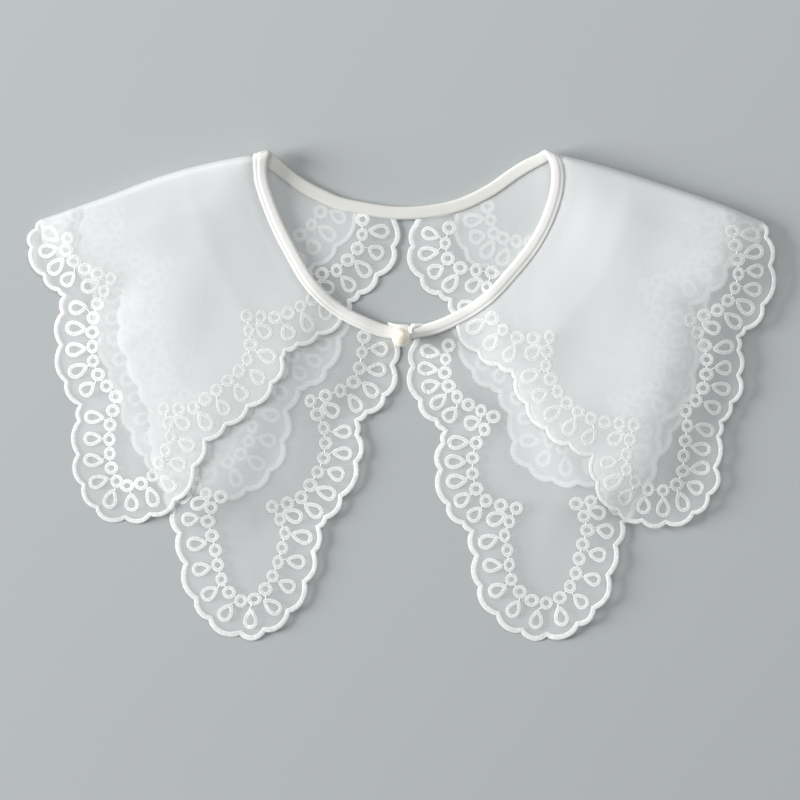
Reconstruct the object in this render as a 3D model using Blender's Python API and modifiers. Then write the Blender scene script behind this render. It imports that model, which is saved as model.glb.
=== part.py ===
# Two-tier cape collar of sheer organza, laid flat and folded over at both shoulders.
# Each half has an upper and an under layer, cut in one from centre front to centre back.
# A bias binding runs round the neck and closes with a pearl button and a thread loop.
# Lengths are in millimetres until they reach a mesh. X runs to the right, Y towards the
# back neck and Z up from the surface that the collar lies on.

import math

import bmesh
import bpy
import numpy as np
from mathutils import Vector
from mathutils.geometry import delaunay_2d_cdt

MM = 0.001

# Cloth sizes
CLOTH_WALL = 1.0
LAYER_PITCH = 1.4
BINDING_WALL = 2.0
BINDING_WIDTH = 6.4
SEAM_GAP = 0.35

# How a layer comes down past the edge of the one under it
DRAPE_LEAD = 3.0
DRAPE_RUN = 18.0

# The spring of the cloth at the shoulder folds
FOLD_LOFT = 1.4
FOLD_LOFT_RUN = 14.0
FOLD_ROW_ANGLES = (45.0, 90.0)
FOLD_REACH = 12.0
BINDING_FOLD_RADIUS = (2 * LAYER_PITCH + FOLD_LOFT) / 2
FOLD_START = 3

# The scalloped hem
SCALLOP_RISE = 1.8
SCALLOP_STEPS = 4

# Mesh spacing
CURVE_STEP = 0.25
EDGE_STEP = 6.0
GRID = 8.0
CORNER_APART = 3
WELD = 0.002

# Pearl button and loop
PEARL_PLACE = (0.0, 27.0)
PEARL_RADIUS = 4.3
PEARL_CENTRE_Z = 7.6
SHANK_RADIUS = 0.8
PEARL_ARC_STEPS = 9
PEARL_TURN_STEPS = 22
LOOP_THREAD = 0.9
LOOP_GAP = 0.4
LOOP_INNER_RADIUS = 1.1
LOOP_REACH = 5.4
LOOP_STEPS = 8

# Which way the cloth lies from a hem that is followed from the neck to the shoulder
SIDES = {"left": 1.0, "right": -1.0}

# Shoulder folds of the upper layer, from the neck out. Columns: x, y
SHOULDER_FOLDS = {
    "left": [(-70, 112.5), (-82, 110.5), (-110.5, 103.5), (-140.5, 92.5), (-169, 82.5)],
    "right": [(74, 112.5), (91, 108.5), (124, 98.5), (153, 88.5), (170.5, 81)],
}

# Where the binding folds over at the shoulders. Columns: x, y. Outer edge, then neck edge
BINDING_FOLDS = {
    "left": [(-69.3, 112.4), (-63, 114)],
    "right": [(74, 111.8), (66.5, 114.5)],
}

# Centre line of the binding. Columns: x, y
BINDING_FRONT = {
    "left": [
        (-66, 113.5), (-66, 107.5), (-65.5, 100.5), (-63, 92), (-60, 84), (-52.5, 68.5),
        (-41, 50), (-35, 44), (-26.5, 38), (-17, 33.5), (-7.5, 30), (3.8, 29),
    ],
    "right": [
        (70, 113.5), (73, 108), (73.5, 99), (70.5, 86.5), (63, 71), (52.5, 57.5),
        (40, 44.5), (27.5, 36.5), (12.5, 30.5), (4.5, 29.5),
    ],
}
BINDING_BACK = [
    (-66, 113.5), (-56.5, 105.5), (-47.5, 99), (-38, 94), (-28.5, 90), (-19.5, 88),
    (0.5, 85.5), (11.5, 86), (27, 89), (42, 96), (55, 105), (70, 113.5),
]

# Hems from the neck to the shoulder fold, along the notches between the scallops.
# Columns: x, y, and the scallops of the lobe that ends there, or 0 inside a lobe
UPPER_LEFT_FRONT = [
    (-27.5, 35.5, 0), (-38.5, 28.5, 0), (-54, 20.5, 4),
    (-60.5, 5, 0), (-72.5, -6.5, 0), (-91.5, -21.5, 6),
    (-97, -34, 0), (-106.5, -50, 0), (-124, -58, 0), (-142, -54.5, 0), (-150.5, -40.5, 0),
    (-152.5, -23.5, 0), (-151.5, -5, 10),
    (-158.5, 7.5, 0), (-160.5, 26, 0), (-159, 46.5, 5),
    (-169, 57.5, 0), (-174, 73, 0), (-169, 82.5, 5),
]
UPPER_LEFT_BACK = [
    (-21, 84, 0), (-29.5, 71, 0), (-47.5, 55.5, 4),
    (-54.5, 30.5, 0), (-72, -9.5, 6),
    (-82, -26, 0), (-99, -45, 0), (-117, -33.5, 0), (-128, -14, 0), (-133, 1, 9),
    (-140, 21, 0), (-144, 50, 5),
    (-154.5, 62.5, 0), (-167, 73, 0), (-169, 82.5, 4),
]
UNDER_LEFT_FRONT = [
    (-2, 25.5, 0), (-3.5, 13.5, 0), (-6.5, 1, 0), (-20, -12.5, 5),
    (-20.5, -31, 0), (-27.5, -47.5, 0), (-38, -62.5, 6),
    (-43, -83.5, 0), (-52, -101.5, 0), (-70, -113, 0), (-87.5, -108, 0),
    (-99, -92, 0), (-103, -73.5, 0), (-108, -54.5, 10),
    (-115, -31.5, 0), (-118, -8, 5),
    (-125, 9.5, 0), (-131, 28, 0), (-131, 48.5, 5),
    (-142, 54.5, 0), (-149, 69, 0), (-148, 88.5, 5),
]
UNDER_LEFT_BACK = [
    (-2.5, 81.5, 0), (-3.5, 67.5, 0), (-13.5, 53, 0), (-23.5, 43.5, 5),
    (-29.5, 25, 0), (-37.5, 9, 0), (-47.5, 2, 6),
    (-53.5, -6.5, 0), (-55, -21, 0), (-61.5, -35.5, 0), (-79.5, -47, 0), (-97, -42.5, 0),
    (-108.5, -23.5, 0), (-113.5, -5, 0), (-117, 9, 10),
    (-122.5, 23.5, 0), (-126, 49.5, 5),
    (-139.5, 62.5, 0), (-147, 76.5, 0), (-148, 88.5, 4),
]
UPPER_RIGHT_FRONT = [
    (26.5, 31, 0), (39, 18, 0), (52, 10.5, 4),
    (59.5, -5, 0), (70.5, -18, 0), (89.5, -28.5, 6),
    (92, -41.5, 0), (103, -55, 0), (121.5, -60.5, 0), (138.5, -55, 0), (147, -42, 0),
    (148.5, -26, 0), (151, -13, 10),
    (158, 2.5, 0), (159, 18.5, 0), (159, 27, 5),
    (169.5, 40.5, 0), (173.5, 54, 0), (172.5, 70.5, 0), (170.5, 81, 6),
]
UPPER_RIGHT_BACK = [
    (26, 84, 0), (31.5, 66.5, 0), (48, 56.5, 4),
    (56, 30.5, 0), (73, -7, 6),
    (83, -25, 0), (100, -43.5, 0), (118, -32, 0), (129, -13.5, 0), (134, 1, 9),
    (140.5, 21, 0), (144.5, 49.5, 5),
    (155, 61.5, 0), (167, 72, 0), (170.5, 81, 4),
]
UNDER_RIGHT_FRONT = [
    (7, 25.5, 0), (5, 11.5, 0), (8.5, -2.5, 0), (20, -17, 5),
    (18, -35.5, 0), (23, -54, 0), (32.5, -64.5, 6),
    (35, -76.5, 0), (37.5, -92.5, 0), (45, -103.5, 0), (64.5, -113.5, 0), (81.5, -109.5, 0),
    (94.5, -95.5, 0), (100, -76, 0), (105, -60.5, 10),
    (118, -35.5, 0), (122, -13.5, 5),
    (134, -1.5, 0), (137.5, 16.5, 0), (136.5, 42, 5),
    (151, 55.5, 0), (154, 69, 0), (151, 88, 5),
]
UNDER_RIGHT_BACK = [
    (7.5, 81.5, 0), (5, 68, 0), (10.5, 53.5, 0), (22.5, 44, 5),
    (27.5, 26.5, 0), (36, 8.5, 0), (46, 1, 6),
    (52, -12, 0), (54.5, -27.5, 0), (70, -39.5, 0), (89, -40.5, 0), (105.5, -28.5, 0),
    (112.5, -9.5, 0), (117, 7, 10),
    (123, 22, 0), (126, 48.5, 5),
    (139, 61.5, 0), (146, 75, 0), (151, 88, 4),
]

# How far each layer's fold lies inside the upper layer's
FOLD_NEST = {"upper": 0.0, "under": LAYER_PITCH}


# Plane curves

def resample(curve, step=None, count=None):
    """Points at even distances along a polyline."""
    gaps = np.linalg.norm(np.diff(curve, axis=0), axis=1)
    run = np.concatenate([[0.0], np.cumsum(gaps)])
    count = count or max(1, round(run[-1] / step))
    places = np.linspace(0.0, run[-1], count + 1)
    return np.stack([np.interp(places, run, curve[:, k]) for k in (0, 1)], axis=1)


def smooth_curve(rows):
    """A smooth curve through the rows, finely divided."""
    points = np.array([row[:2] for row in rows], float)
    gaps = np.linalg.norm(np.diff(points, axis=0), axis=1)
    knots = np.concatenate([[0.0], np.cumsum(gaps)])
    slopes = np.gradient(points, knots, axis=0)
    places = np.linspace(0.0, knots[-1], max(2, math.ceil(knots[-1] / CURVE_STEP)))
    k = np.clip(np.searchsorted(knots, places, side="right") - 1, 0, len(gaps) - 1)
    h = gaps[k][:, None]
    u = ((places - knots[k]) / gaps[k])[:, None]
    start = (1 + 2 * u) * (1 - u) ** 2 * points[k] + u * (1 - u) ** 2 * h * slopes[k]
    end = u * u * (3 - 2 * u) * points[k + 1] + u * u * (u - 1) * h * slopes[k + 1]
    return start + end


def left_normals(curve):
    """Unit vectors that point to the left of the way along."""
    along = np.gradient(curve, axis=0)
    along /= np.linalg.norm(along, axis=1)[:, None]
    return np.stack([-along[:, 1], along[:, 0]], axis=1)


def nearest(curve, place):
    return int(np.argmin(np.linalg.norm(curve - place, axis=1)))


def between(curve, start, end, step):
    """The stretch of a fine curve from one place to another, whose ends are those places."""
    i, j = nearest(curve, start), nearest(curve, end)
    stretch = curve[i : j + 1] if i < j else curve[j : i + 1][::-1]
    stretch = resample(stretch, step=step)
    stretch[0], stretch[-1] = start, end
    return stretch


def along(line, start, end):
    """The stretch of a polyline between two places near it, with its own corners."""
    fine = resample(line, step=CURVE_STEP)
    ends = [nearest(fine, place) for place in (start, end)]
    corners = [nearest(fine, corner) for corner in line]
    kept = [k for k in corners if min(ends) + CORNER_APART < k < max(ends) - CORNER_APART]
    if ends[0] > ends[1]:
        kept = kept[::-1]
    return fine[[ends[0], *kept, ends[1]]]


def hem_line(rows, side):
    """The scalloped edge through one hem table."""
    edge = [np.array([rows[0][:2]], float)]
    lobe = [rows[0]]
    for row in rows[1:]:
        lobe.append(row)
        scallops = row[2]
        if not scallops:
            continue
        line = resample(smooth_curve(lobe), count=scallops * SCALLOP_STEPS)
        turn = np.arange(len(line)) / SCALLOP_STEPS
        rise = SCALLOP_RISE * np.abs(np.sin(math.pi * turn)) ** 0.8
        line += SIDES[side] * rise[:, None] * left_normals(line)
        edge.append(line[1:])
        lobe = [row]
    return np.concatenate(edge)


def nearest_stretch(points, line):
    """(distance, index) of the stretch of an open polyline that is nearest each point."""
    start, way = line[:-1], np.diff(line, axis=0)
    offset = points[:, None] - start[None]
    share = (offset * way).sum(axis=2) / (way * way).sum(axis=1)
    foot = np.clip(share, 0.0, 1.0)[:, :, None] * way
    distances = np.linalg.norm(offset - foot, axis=2)
    return distances.min(axis=1), distances.argmin(axis=1)


def edge_distance(points, line):
    return nearest_stretch(points, line)[0]


def extended(line):
    """A polyline with both ends drawn out straight."""
    first = line[0] + (line[0] - line[1]) / np.linalg.norm(line[0] - line[1]) * FOLD_REACH
    last = line[-1] + (line[-1] - line[-2]) / np.linalg.norm(line[-1] - line[-2]) * FOLD_REACH
    return np.vstack([first, line, last])


def inside(points, outline):
    """True for each point that lies inside a closed outline."""
    a, b = outline, np.roll(outline, -1, axis=0)
    x, y = points[:, :1], points[:, 1:]
    spans = (a[:, 1] > y) != (b[:, 1] > y)
    rise = np.where(a[:, 1] == b[:, 1], 1.0, b[:, 1] - a[:, 1])
    crossing = a[:, 0] + (y - a[:, 1]) / rise * (b[:, 0] - a[:, 0])
    return (spans & (x < crossing)).sum(axis=1) % 2 == 1


def support(points, outline):
    """How far an outline's cloth holds up what lies over it: 1 on it, 0 well past it."""
    distance = edge_distance(points, np.vstack([outline, outline[:1]]))
    distance = np.where(inside(points, outline), 0.0, distance)
    fall = np.clip((distance - DRAPE_LEAD) / DRAPE_RUN, 0.0, 1.0)
    return 1.0 - fall * fall * (3.0 - 2.0 * fall)


# Outlines of the pieces as they lie

def binding_fold_row(stretch, side, angle):
    """(outer, neck) points of a stretch of binding at an angle round its shoulder fold."""
    line = smooth_curve(BINDING_BACK if stretch == "back" else BINDING_FRONT[side])
    if stretch == "back" and side == "right":
        line = line[::-1]
    fold = np.array(BINDING_FOLDS[side], float)
    inward = left_normals(fold)[0] * -SIDES[side]
    heading = line[nearest(line, line[0] + inward * BINDING_WIDTH)] - line[0]
    heading /= heading @ inward
    return fold + heading * BINDING_FOLD_RADIUS * (1.0 - math.cos(math.radians(angle)))


def binding_edges(stretch, centre, neck_side, folds):
    """(neck edge, outer edge) of a stretch of binding between its shoulder folds."""
    line = smooth_curve(centre)
    across = left_normals(line) * BINDING_WIDTH / 2 * neck_side
    edges = []
    for column, edge in ((1, line + across), (0, line - across)):
        ends = [binding_fold_row(stretch, side, 90.0)[column] for side in folds]
        ends += [edge[-1]] * (2 - len(ends))
        edges.append(between(edge, *ends, EDGE_STEP))
    count = max(len(edge) for edge in edges) - 1
    return [resample(edge, count=count) for edge in edges]


BINDING = {
    "left": binding_edges("left", BINDING_FRONT["left"], 1, ["left"]),
    "right": binding_edges("right", BINDING_FRONT["right"], -1, ["right"]),
    "back": binding_edges("back", BINDING_BACK, 1, ["left", "right"]),
}


def neck_seam(stretch, outward):
    """Where the layers stop, just short of the binding."""
    left, right = (np.array(BINDING_FOLDS[side][0], float) for side in SIDES)
    line = np.vstack([right if stretch == "right" else left, BINDING[stretch][1]])
    if stretch == "back":
        line = np.vstack([line, right])
    return line + left_normals(line) * SEAM_GAP * outward


def layer_panel(rows, side, tier, part):
    """(fold line, rest of the outline) of one panel of a layer."""
    seams = {
        "front": neck_seam(side, -1 if side == "left" else 1),
        "back": neck_seam("back", -1),
    }
    upper_fold = smooth_curve(SHOULDER_FOLDS[side])
    fold = upper_fold + SIDES[side] * FOLD_NEST[tier] * left_normals(upper_fold)
    start = max(int(edge_distance(fold, seam).argmin()) for seam in seams.values())
    hem = hem_line(rows, side)
    fold_end = fold[nearest(fold, hem[-1])]
    fold = between(fold, fold[start + FOLD_START], fold_end, EDGE_STEP)
    neck = along(seams[part], hem[0], fold[0])
    hem[0] = neck[0]
    neck[-1] = fold[0]
    return fold, np.vstack([fold[-1:], hem[::-1][1:], neck[1:]])


def whole(fold, rest):
    """One closed outline from a fold line and the rest."""
    return np.vstack([fold, rest[1:-1]])


HEMS = {
    "upper_left_front": UPPER_LEFT_FRONT,
    "upper_left_back": UPPER_LEFT_BACK,
    "under_left_front": UNDER_LEFT_FRONT,
    "under_left_back": UNDER_LEFT_BACK,
    "upper_right_front": UPPER_RIGHT_FRONT,
    "upper_right_back": UPPER_RIGHT_BACK,
    "under_right_front": UNDER_RIGHT_FRONT,
    "under_right_back": UNDER_RIGHT_BACK,
}
PANELS = {
    f"{tier}_{side}_{part}": layer_panel(HEMS[f"{tier}_{side}_{part}"], side, tier, part)
    for tier in FOLD_NEST
    for side in SIDES
    for part in ("front", "back")
}
OUTLINES = {name: whole(*panel) for name, panel in PANELS.items()}


BINDING_BACK_OUTLINE = np.vstack([BINDING["back"][0], BINDING["back"][1][::-1]])


# Heights of the middle of each wall

def layer_height(points, lower):
    """Height over the named panels that lie under this one."""
    height = np.full(len(points), CLOTH_WALL / 2)
    for name in lower:
        height += LAYER_PITCH * support(points, OUTLINES[name])
    return height


def binding_height(points, side):
    """Height of a front stretch of the binding over the back panels and the back binding."""
    layers = sum(
        LAYER_PITCH * support(points, OUTLINES[f"{tier}_{side}_back"]) for tier in FOLD_NEST
    )
    doubled = (BINDING_WALL + LAYER_PITCH - CLOTH_WALL) * support(points, BINDING_BACK_OUTLINE)
    return BINDING_WALL / 2 + np.maximum(layers, doubled)


def loft(points, fold):
    return FOLD_LOFT * np.exp(-edge_distance(points, fold) / FOLD_LOFT_RUN)


def bent(points, fold, cloth_side, height_here, height_across):
    """(points in space, outward unit vectors) of a panel that bends round at its fold."""
    axis = extended(fold)
    distance, stretch = nearest_stretch(points, axis)
    distance = np.where(distance < WELD, 0.0, distance)
    way = np.diff(axis, axis=0)[stretch]
    way /= np.linalg.norm(way, axis=1)[:, None]
    away = np.stack([way[:, 1], -way[:, 0]], axis=1) * cloth_side
    middle = (height_here + height_across) / 2
    half = (height_here - height_across) / 2
    outward = np.clip(1.0 - distance / np.abs(half), 0.0, 1.0)
    upward = np.sqrt(1.0 - outward * outward) * np.sign(half)
    raised = np.column_stack([points, middle + np.abs(half) * upward])
    return raised, np.column_stack([away * outward[:, None], upward])


# Meshes

def staggered_grid(outline):
    """The points that all layers share, in rows half a step apart, round an outline."""
    row_gap = GRID * math.sqrt(3) / 2
    low, high = outline.min(axis=0), outline.max(axis=0)
    rows = range(math.floor(low[1] / row_gap), math.ceil(high[1] / row_gap) + 1)
    columns = range(math.floor(low[0] / GRID) - 1, math.ceil(high[0] / GRID) + 1)
    return np.array([
        ((column + 0.5 * (row % 2)) * GRID, row * row_gap) for row in rows for column in columns
    ])


def fold_rows(fold, side_in, halves):
    """Rows of points on the round of the fold."""
    normals = left_normals(fold) * side_in
    return [
        fold + normals * (halves * (1.0 - math.cos(math.radians(angle))))[:, None]
        for angle in FOLD_ROW_ANGLES
    ]


def triangulate(outline, extra):
    """(points, triangles) that fill an outline and use the extra points inside it."""
    points = np.vstack([outline, extra]) if len(extra) else outline
    count = len(outline)
    ring = [(k, (k + 1) % count) for k in range(count)]
    vectors = [Vector((float(x), float(y))) for x, y in points]
    result = delaunay_2d_cdt(vectors, ring, [], 0, 1e-5, False)
    flat = np.array([tuple(v) for v in result[0]])
    triangles = np.array(result[2])
    return flat, triangles[inside(flat[triangles].mean(axis=1), outline)].tolist()


def panel_mesh(outline, fold, cloth_side, heights):
    """(points, outward vectors, triangles) of one panel. heights gives here and across."""
    extra = staggered_grid(outline)
    closed_line = np.vstack([outline, outline[:1]])
    keep = inside(extra, outline) & (edge_distance(extra, closed_line) > 0.42 * GRID)
    here, across = heights(fold)
    halves = np.abs(here - across) / 2
    extra = extra[keep]
    extra = extra[edge_distance(extra, extended(fold)) > halves.max() + 0.42 * GRID]
    rest = outline[len(fold) :]
    for row in fold_rows(fold, cloth_side, halves):
        row = row[inside(row, outline)]
        apart = np.linalg.norm(row[:, None] - rest[None], axis=2).min(axis=1)
        extra = np.vstack([extra, row[apart > 0.5]])
    flat, triangles = triangulate(outline, extra)
    points, outward = bent(flat, fold, cloth_side, *heights(flat))
    return points, outward, triangles


def add_shell(shape, points, outward, faces, wall, crease):
    """Both faces of a wall and the rim round it, which stops where the crease joins on."""
    sides = [
        [shape.verts.new(Vector(p) * MM) for p in points + outward * wall * share]
        for share in (0.5, -0.5)
    ]
    edges = {}
    for face in faces:
        shape.faces.new([sides[0][k] for k in face])
        shape.faces.new([sides[1][k] for k in face[::-1]])
        for a, b in zip(face, face[1:] + face[:1]):
            edges[a, b] = True
    for a, b in edges:
        if (b, a) not in edges and not (crease[a] and crease[b]):
            shape.faces.new([sides[0][b], sides[0][a], sides[1][a], sides[1][b]])


def shell_object(name, shape, material):
    """An object from a finished shell, with what lies in one place joined."""
    bmesh.ops.remove_doubles(shape, verts=shape.verts, dist=WELD * MM)
    bmesh.ops.recalc_face_normals(shape, faces=shape.faces)
    mesh = bpy.data.meshes.new(name)
    shape.to_mesh(mesh)
    shape.free()
    return add_object(name, mesh, material)


def add_object(name, data, material):
    obj = bpy.data.objects.new(name, data)
    obj.data.materials.append(material)
    parts.objects.link(obj)
    return obj


def make_layer(tier, side, material):
    """One layer of one half: its front panel, the shoulder fold and its back panel."""
    stack = [f"upper_{side}_back", f"under_{side}_back", f"under_{side}_front"]
    lower = {
        "upper": {"front": stack, "back": []},
        "under": {"front": stack[:2], "back": stack[:1]},
    }[tier]
    fold = PANELS[f"{tier}_{side}_front"][0]
    shape = bmesh.new()
    for part in ("front", "back"):

        def heights(points, part=part):
            pair = [
                layer_height(points, lower["front"]) + loft(points, fold),
                layer_height(points, lower["back"]),
            ]
            return pair if part == "front" else pair[::-1]

        outline = OUTLINES[f"{tier}_{side}_{part}"]
        points, outward, triangles = panel_mesh(outline, fold, SIDES[side], heights)
        crease = edge_distance(points[:, :2], fold) < WELD
        add_shell(shape, points, outward, triangles, CLOTH_WALL, crease)
    return shell_object(f"{tier}_layer_{side}", shape, material)


def binding_sections(stretch, side, angles):
    """Sections of the binding from its shoulder fold on, each (points, outward vectors)."""
    fold = np.array(BINDING_FOLDS[side], float)
    front = stretch != "back"
    neck, outer = BINDING[stretch]
    if side == "right" and not front:
        neck, outer = neck[::-1], outer[::-1]

    def heights(points):
        pair = [
            binding_height(points, side) + loft(points, fold),
            np.full(len(points), BINDING_WALL / 2),
        ]
        return pair if front else pair[::-1]

    places = [binding_fold_row(stretch, side, angle)[::-1] for angle in angles]
    places += [np.array(pair) for pair in zip(neck, outer)]
    return [bent(place, fold, -SIDES[side], *heights(place)) for place in places]


def make_binding(material):
    """The neck binding, one strip from centre front round the neck to centre front."""
    half_back = (len(BINDING["back"][0]) + 1) // 2
    sections = binding_sections("left", "left", (0.0, 45.0))[::-1]
    sections += binding_sections("back", "left", (45.0,))[: half_back + 1]
    sections += binding_sections("back", "right", (45.0,))[: half_back + 1][::-1]
    sections += binding_sections("right", "right", (0.0, 45.0))
    points = np.vstack([section[0] for section in sections])
    outward = np.vstack([section[1] for section in sections])
    faces = [[k, k + 1, k + 3, k + 2] for k in range(0, len(points) - 2, 2)]
    shape = bmesh.new()
    add_shell(shape, points, outward, faces, BINDING_WALL, np.zeros(len(points), bool))
    return shell_object("neck_binding", shape, material)


def make_pearl_button(material):
    """Pearl and shank, turned from one profile."""
    foot = BINDING_WALL + SEAM_GAP
    meet = math.asin(SHANK_RADIUS / PEARL_RADIUS)
    profile = [(0.0, PEARL_CENTRE_Z + PEARL_RADIUS)]
    for k in range(1, PEARL_ARC_STEPS + 1):
        angle = (math.pi - meet) * k / PEARL_ARC_STEPS
        height = PEARL_CENTRE_Z + PEARL_RADIUS * math.cos(angle)
        profile.append((PEARL_RADIUS * math.sin(angle), height))
    profile += [(SHANK_RADIUS, foot), (0.0, foot)]
    shape = bmesh.new()
    points = [shape.verts.new(Vector((x, 0.0, z)) * MM) for x, z in profile]
    for a, b in zip(points, points[1:]):
        shape.edges.new((a, b))
    mesh = bpy.data.meshes.new("pearl_button")
    shape.to_mesh(mesh)
    shape.free()
    obj = add_object("pearl_button", mesh, material)
    obj.location = Vector((*PEARL_PLACE, 0.0)) * MM
    screw = obj.modifiers.new("turned", "SCREW")
    screw.steps = screw.render_steps = PEARL_TURN_STEPS
    screw.use_merge_vertices = True
    screw.merge_threshold = 0.01 * MM
    return obj


def make_button_loop(material):
    """Thread loop round the shank, with both ends on the other end of the binding."""
    height = BINDING_WALL + LOOP_GAP + LOOP_THREAD / 2
    radius = LOOP_INNER_RADIUS + LOOP_THREAD / 2
    x, y = PEARL_PLACE
    route = [(x + LOOP_REACH, y + radius)]
    for k in range(LOOP_STEPS + 1):
        angle = math.pi / 2 + math.pi * k / LOOP_STEPS
        route.append((x + radius * math.cos(angle), y + radius * math.sin(angle)))
    route.append((x + LOOP_REACH, y - radius))
    curve = bpy.data.curves.new("button_loop", "CURVE")
    curve.dimensions = "3D"
    curve.bevel_depth = LOOP_THREAD / 2 * MM
    curve.bevel_resolution = 2
    curve.use_fill_caps = True
    spline = curve.splines.new("POLY")
    spline.points.add(len(route) - 1)
    for point, (px, py) in zip(spline.points, route):
        point.co = (px * MM, py * MM, height * MM, 1.0)
    return add_object("button_loop", curve, material)


def make_material(name, colour, roughness):
    material = bpy.data.materials.new(name)
    material.use_nodes = True
    surface = material.node_tree.nodes["Principled BSDF"]
    surface.inputs["Base Color"].default_value = (*colour, 1.0)
    surface.inputs["Roughness"].default_value = roughness
    surface.inputs["Metallic"].default_value = 0.0
    return material


for obj in list(bpy.data.objects):
    bpy.data.objects.remove(obj, do_unlink=True)

parts = bpy.data.collections.new("lace_collar")
bpy.context.scene.collection.children.link(parts)

organza = make_material("white_organza", (0.86, 0.88, 0.88), 0.6)
bias_cloth = make_material("white_bias_binding", (0.84, 0.84, 0.82), 0.8)
pearl = make_material("cream_pearl", (0.76, 0.73, 0.65), 0.25)
thread = make_material("white_thread", (0.84, 0.84, 0.82), 0.6)

for side_name in SIDES:
    for tier_name in FOLD_NEST:
        make_layer(tier_name, side_name, organza)
make_binding(bias_cloth)
make_pearl_button(pearl)
make_button_loop(thread)
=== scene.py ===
import math

import bmesh
import bpy
import numpy as np
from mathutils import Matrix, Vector
from mathutils.geometry import delaunay_2d_cdt


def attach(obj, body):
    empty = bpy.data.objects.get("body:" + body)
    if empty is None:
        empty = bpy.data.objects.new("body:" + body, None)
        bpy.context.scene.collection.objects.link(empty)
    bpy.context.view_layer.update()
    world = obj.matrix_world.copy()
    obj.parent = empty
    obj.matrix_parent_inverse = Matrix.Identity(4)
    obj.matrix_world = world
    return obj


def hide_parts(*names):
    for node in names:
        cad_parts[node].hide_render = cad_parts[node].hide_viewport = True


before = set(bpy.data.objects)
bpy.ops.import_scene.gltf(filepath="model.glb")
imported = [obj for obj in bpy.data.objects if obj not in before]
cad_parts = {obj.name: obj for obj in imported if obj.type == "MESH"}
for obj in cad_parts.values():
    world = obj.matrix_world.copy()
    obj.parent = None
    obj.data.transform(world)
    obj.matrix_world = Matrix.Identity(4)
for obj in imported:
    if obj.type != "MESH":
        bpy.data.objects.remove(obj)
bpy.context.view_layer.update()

# Lace collar of sheer organza, laid flat and folded over at both shoulders.
# Lengths are in millimetres until they reach a mesh; X right, Y to the back neck, Z up.
mm = 0.001
sides = {"left": 1.0, "right": -1.0}

# Camera first, so the frame of the picture is fixed
cameraSetup = {"place": (-0.47, -2.42), "height": 1600.0, "across": 376.0, "clothHeight": 3.0}


def makeCamera(setup):
    data = bpy.data.cameras.new("camera")
    data.sensor_width = 36.0
    data.lens = 36.0 * (setup["height"] - setup["clothHeight"]) / setup["across"]
    camera = bpy.data.objects.new("camera", data)
    camera.location = Vector((*setup["place"], setup["height"])) * mm
    bpy.context.scene.collection.objects.link(camera)
    bpy.context.scene.camera = camera


makeCamera(cameraSetup)
print("camera placed")

# Shapes of the cloth, the same numbers as the part's own

clothSizes = {
    "wall": 1.0, "pitch": 1.4, "drapeLead": 3.0, "drapeRun": 18.0,
    "loft": 1.1, "loftRun": 14.0, "tuck": 1.1, "tuckDip": 0.9, "tuckRun": 2.5,
    "scallopBase": 0.4, "scallopRise": 0.17, "mostRise": 2.5,
    "calmRun": 16.0, "corner": 5.6, "cornerRun": 34.0, "backCorner": 0.6,
    "foldHalf": 4.6, "lean": 0.034, "leanFrom": 62.0, "seamShare": 0.3, "seamRun": 25.0,
    "crown": {"upper": 1.3, "under": 1.8}, "crownRun": 15.0, "backShare": 0.3,
    "curl": {"upper": 0.4, "under": 2.3}, "curlRun": 9.0, "curlEnd": 4.0, "hemWay": 14.0, "bareRun": 22.0,
    "grid": 2.6, "edgeStep": 1.3, "foldAngles": (12, 25, 38, 52, 66, 80, 90),
}
bindingSizes = {
    "wall": 2.0, "width": 6.4, "foldRadius": 2.1, "step": 1.5, "across": 13,
    "foldAngles": (0.0, 15.0, 30.0, 45.0, 60.0, 75.0), "foldBulge": 1.5, "flareRun": 9.0,
    "grooveAt": 0.38, "grooveWide": 0.13, "grooveDeep": 0.26, "edgeRound": 0.5, "strip": 0.22,
}

shoulderFolds = {
    "left": [(-70, 112.5), (-82, 110.5), (-110.5, 103.5), (-140.5, 92.5), (-169, 82.5)],
    "right": [(74, 112.5), (91, 108.5), (124, 98.5), (153, 88.5), (170.5, 81)],
}
bindingFolds = {
    "left": [(-69.3, 112.4), (-61.4, 114.4)],
    "right": [(74, 111.8), (66.5, 114.5)],
}
bindingFront = {
    "left": [
        (-66, 113.5), (-66, 107.5), (-65.5, 100.5), (-63, 92), (-60, 84), (-52.5, 68.5),
        (-41, 50), (-35, 44), (-26.5, 38), (-17, 33.5), (-7.5, 30), (3.8, 29),
    ],
    "right": [
        (70, 113.5), (73, 108), (73.5, 99), (70.5, 86.5), (63, 71), (52.5, 57.5),
        (40, 44.5), (27.5, 36.5), (12.5, 30.5), (3.7, 29.4),
    ],
}
bindingBack = [
    (-66, 113.5), (-56.5, 105.5), (-47.5, 99), (-38, 94), (-28.5, 90), (-19.5, 88),
    (0.5, 85.5), (11.5, 86), (27, 89), (42, 96), (55, 105), (70, 113.5),
]
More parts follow.
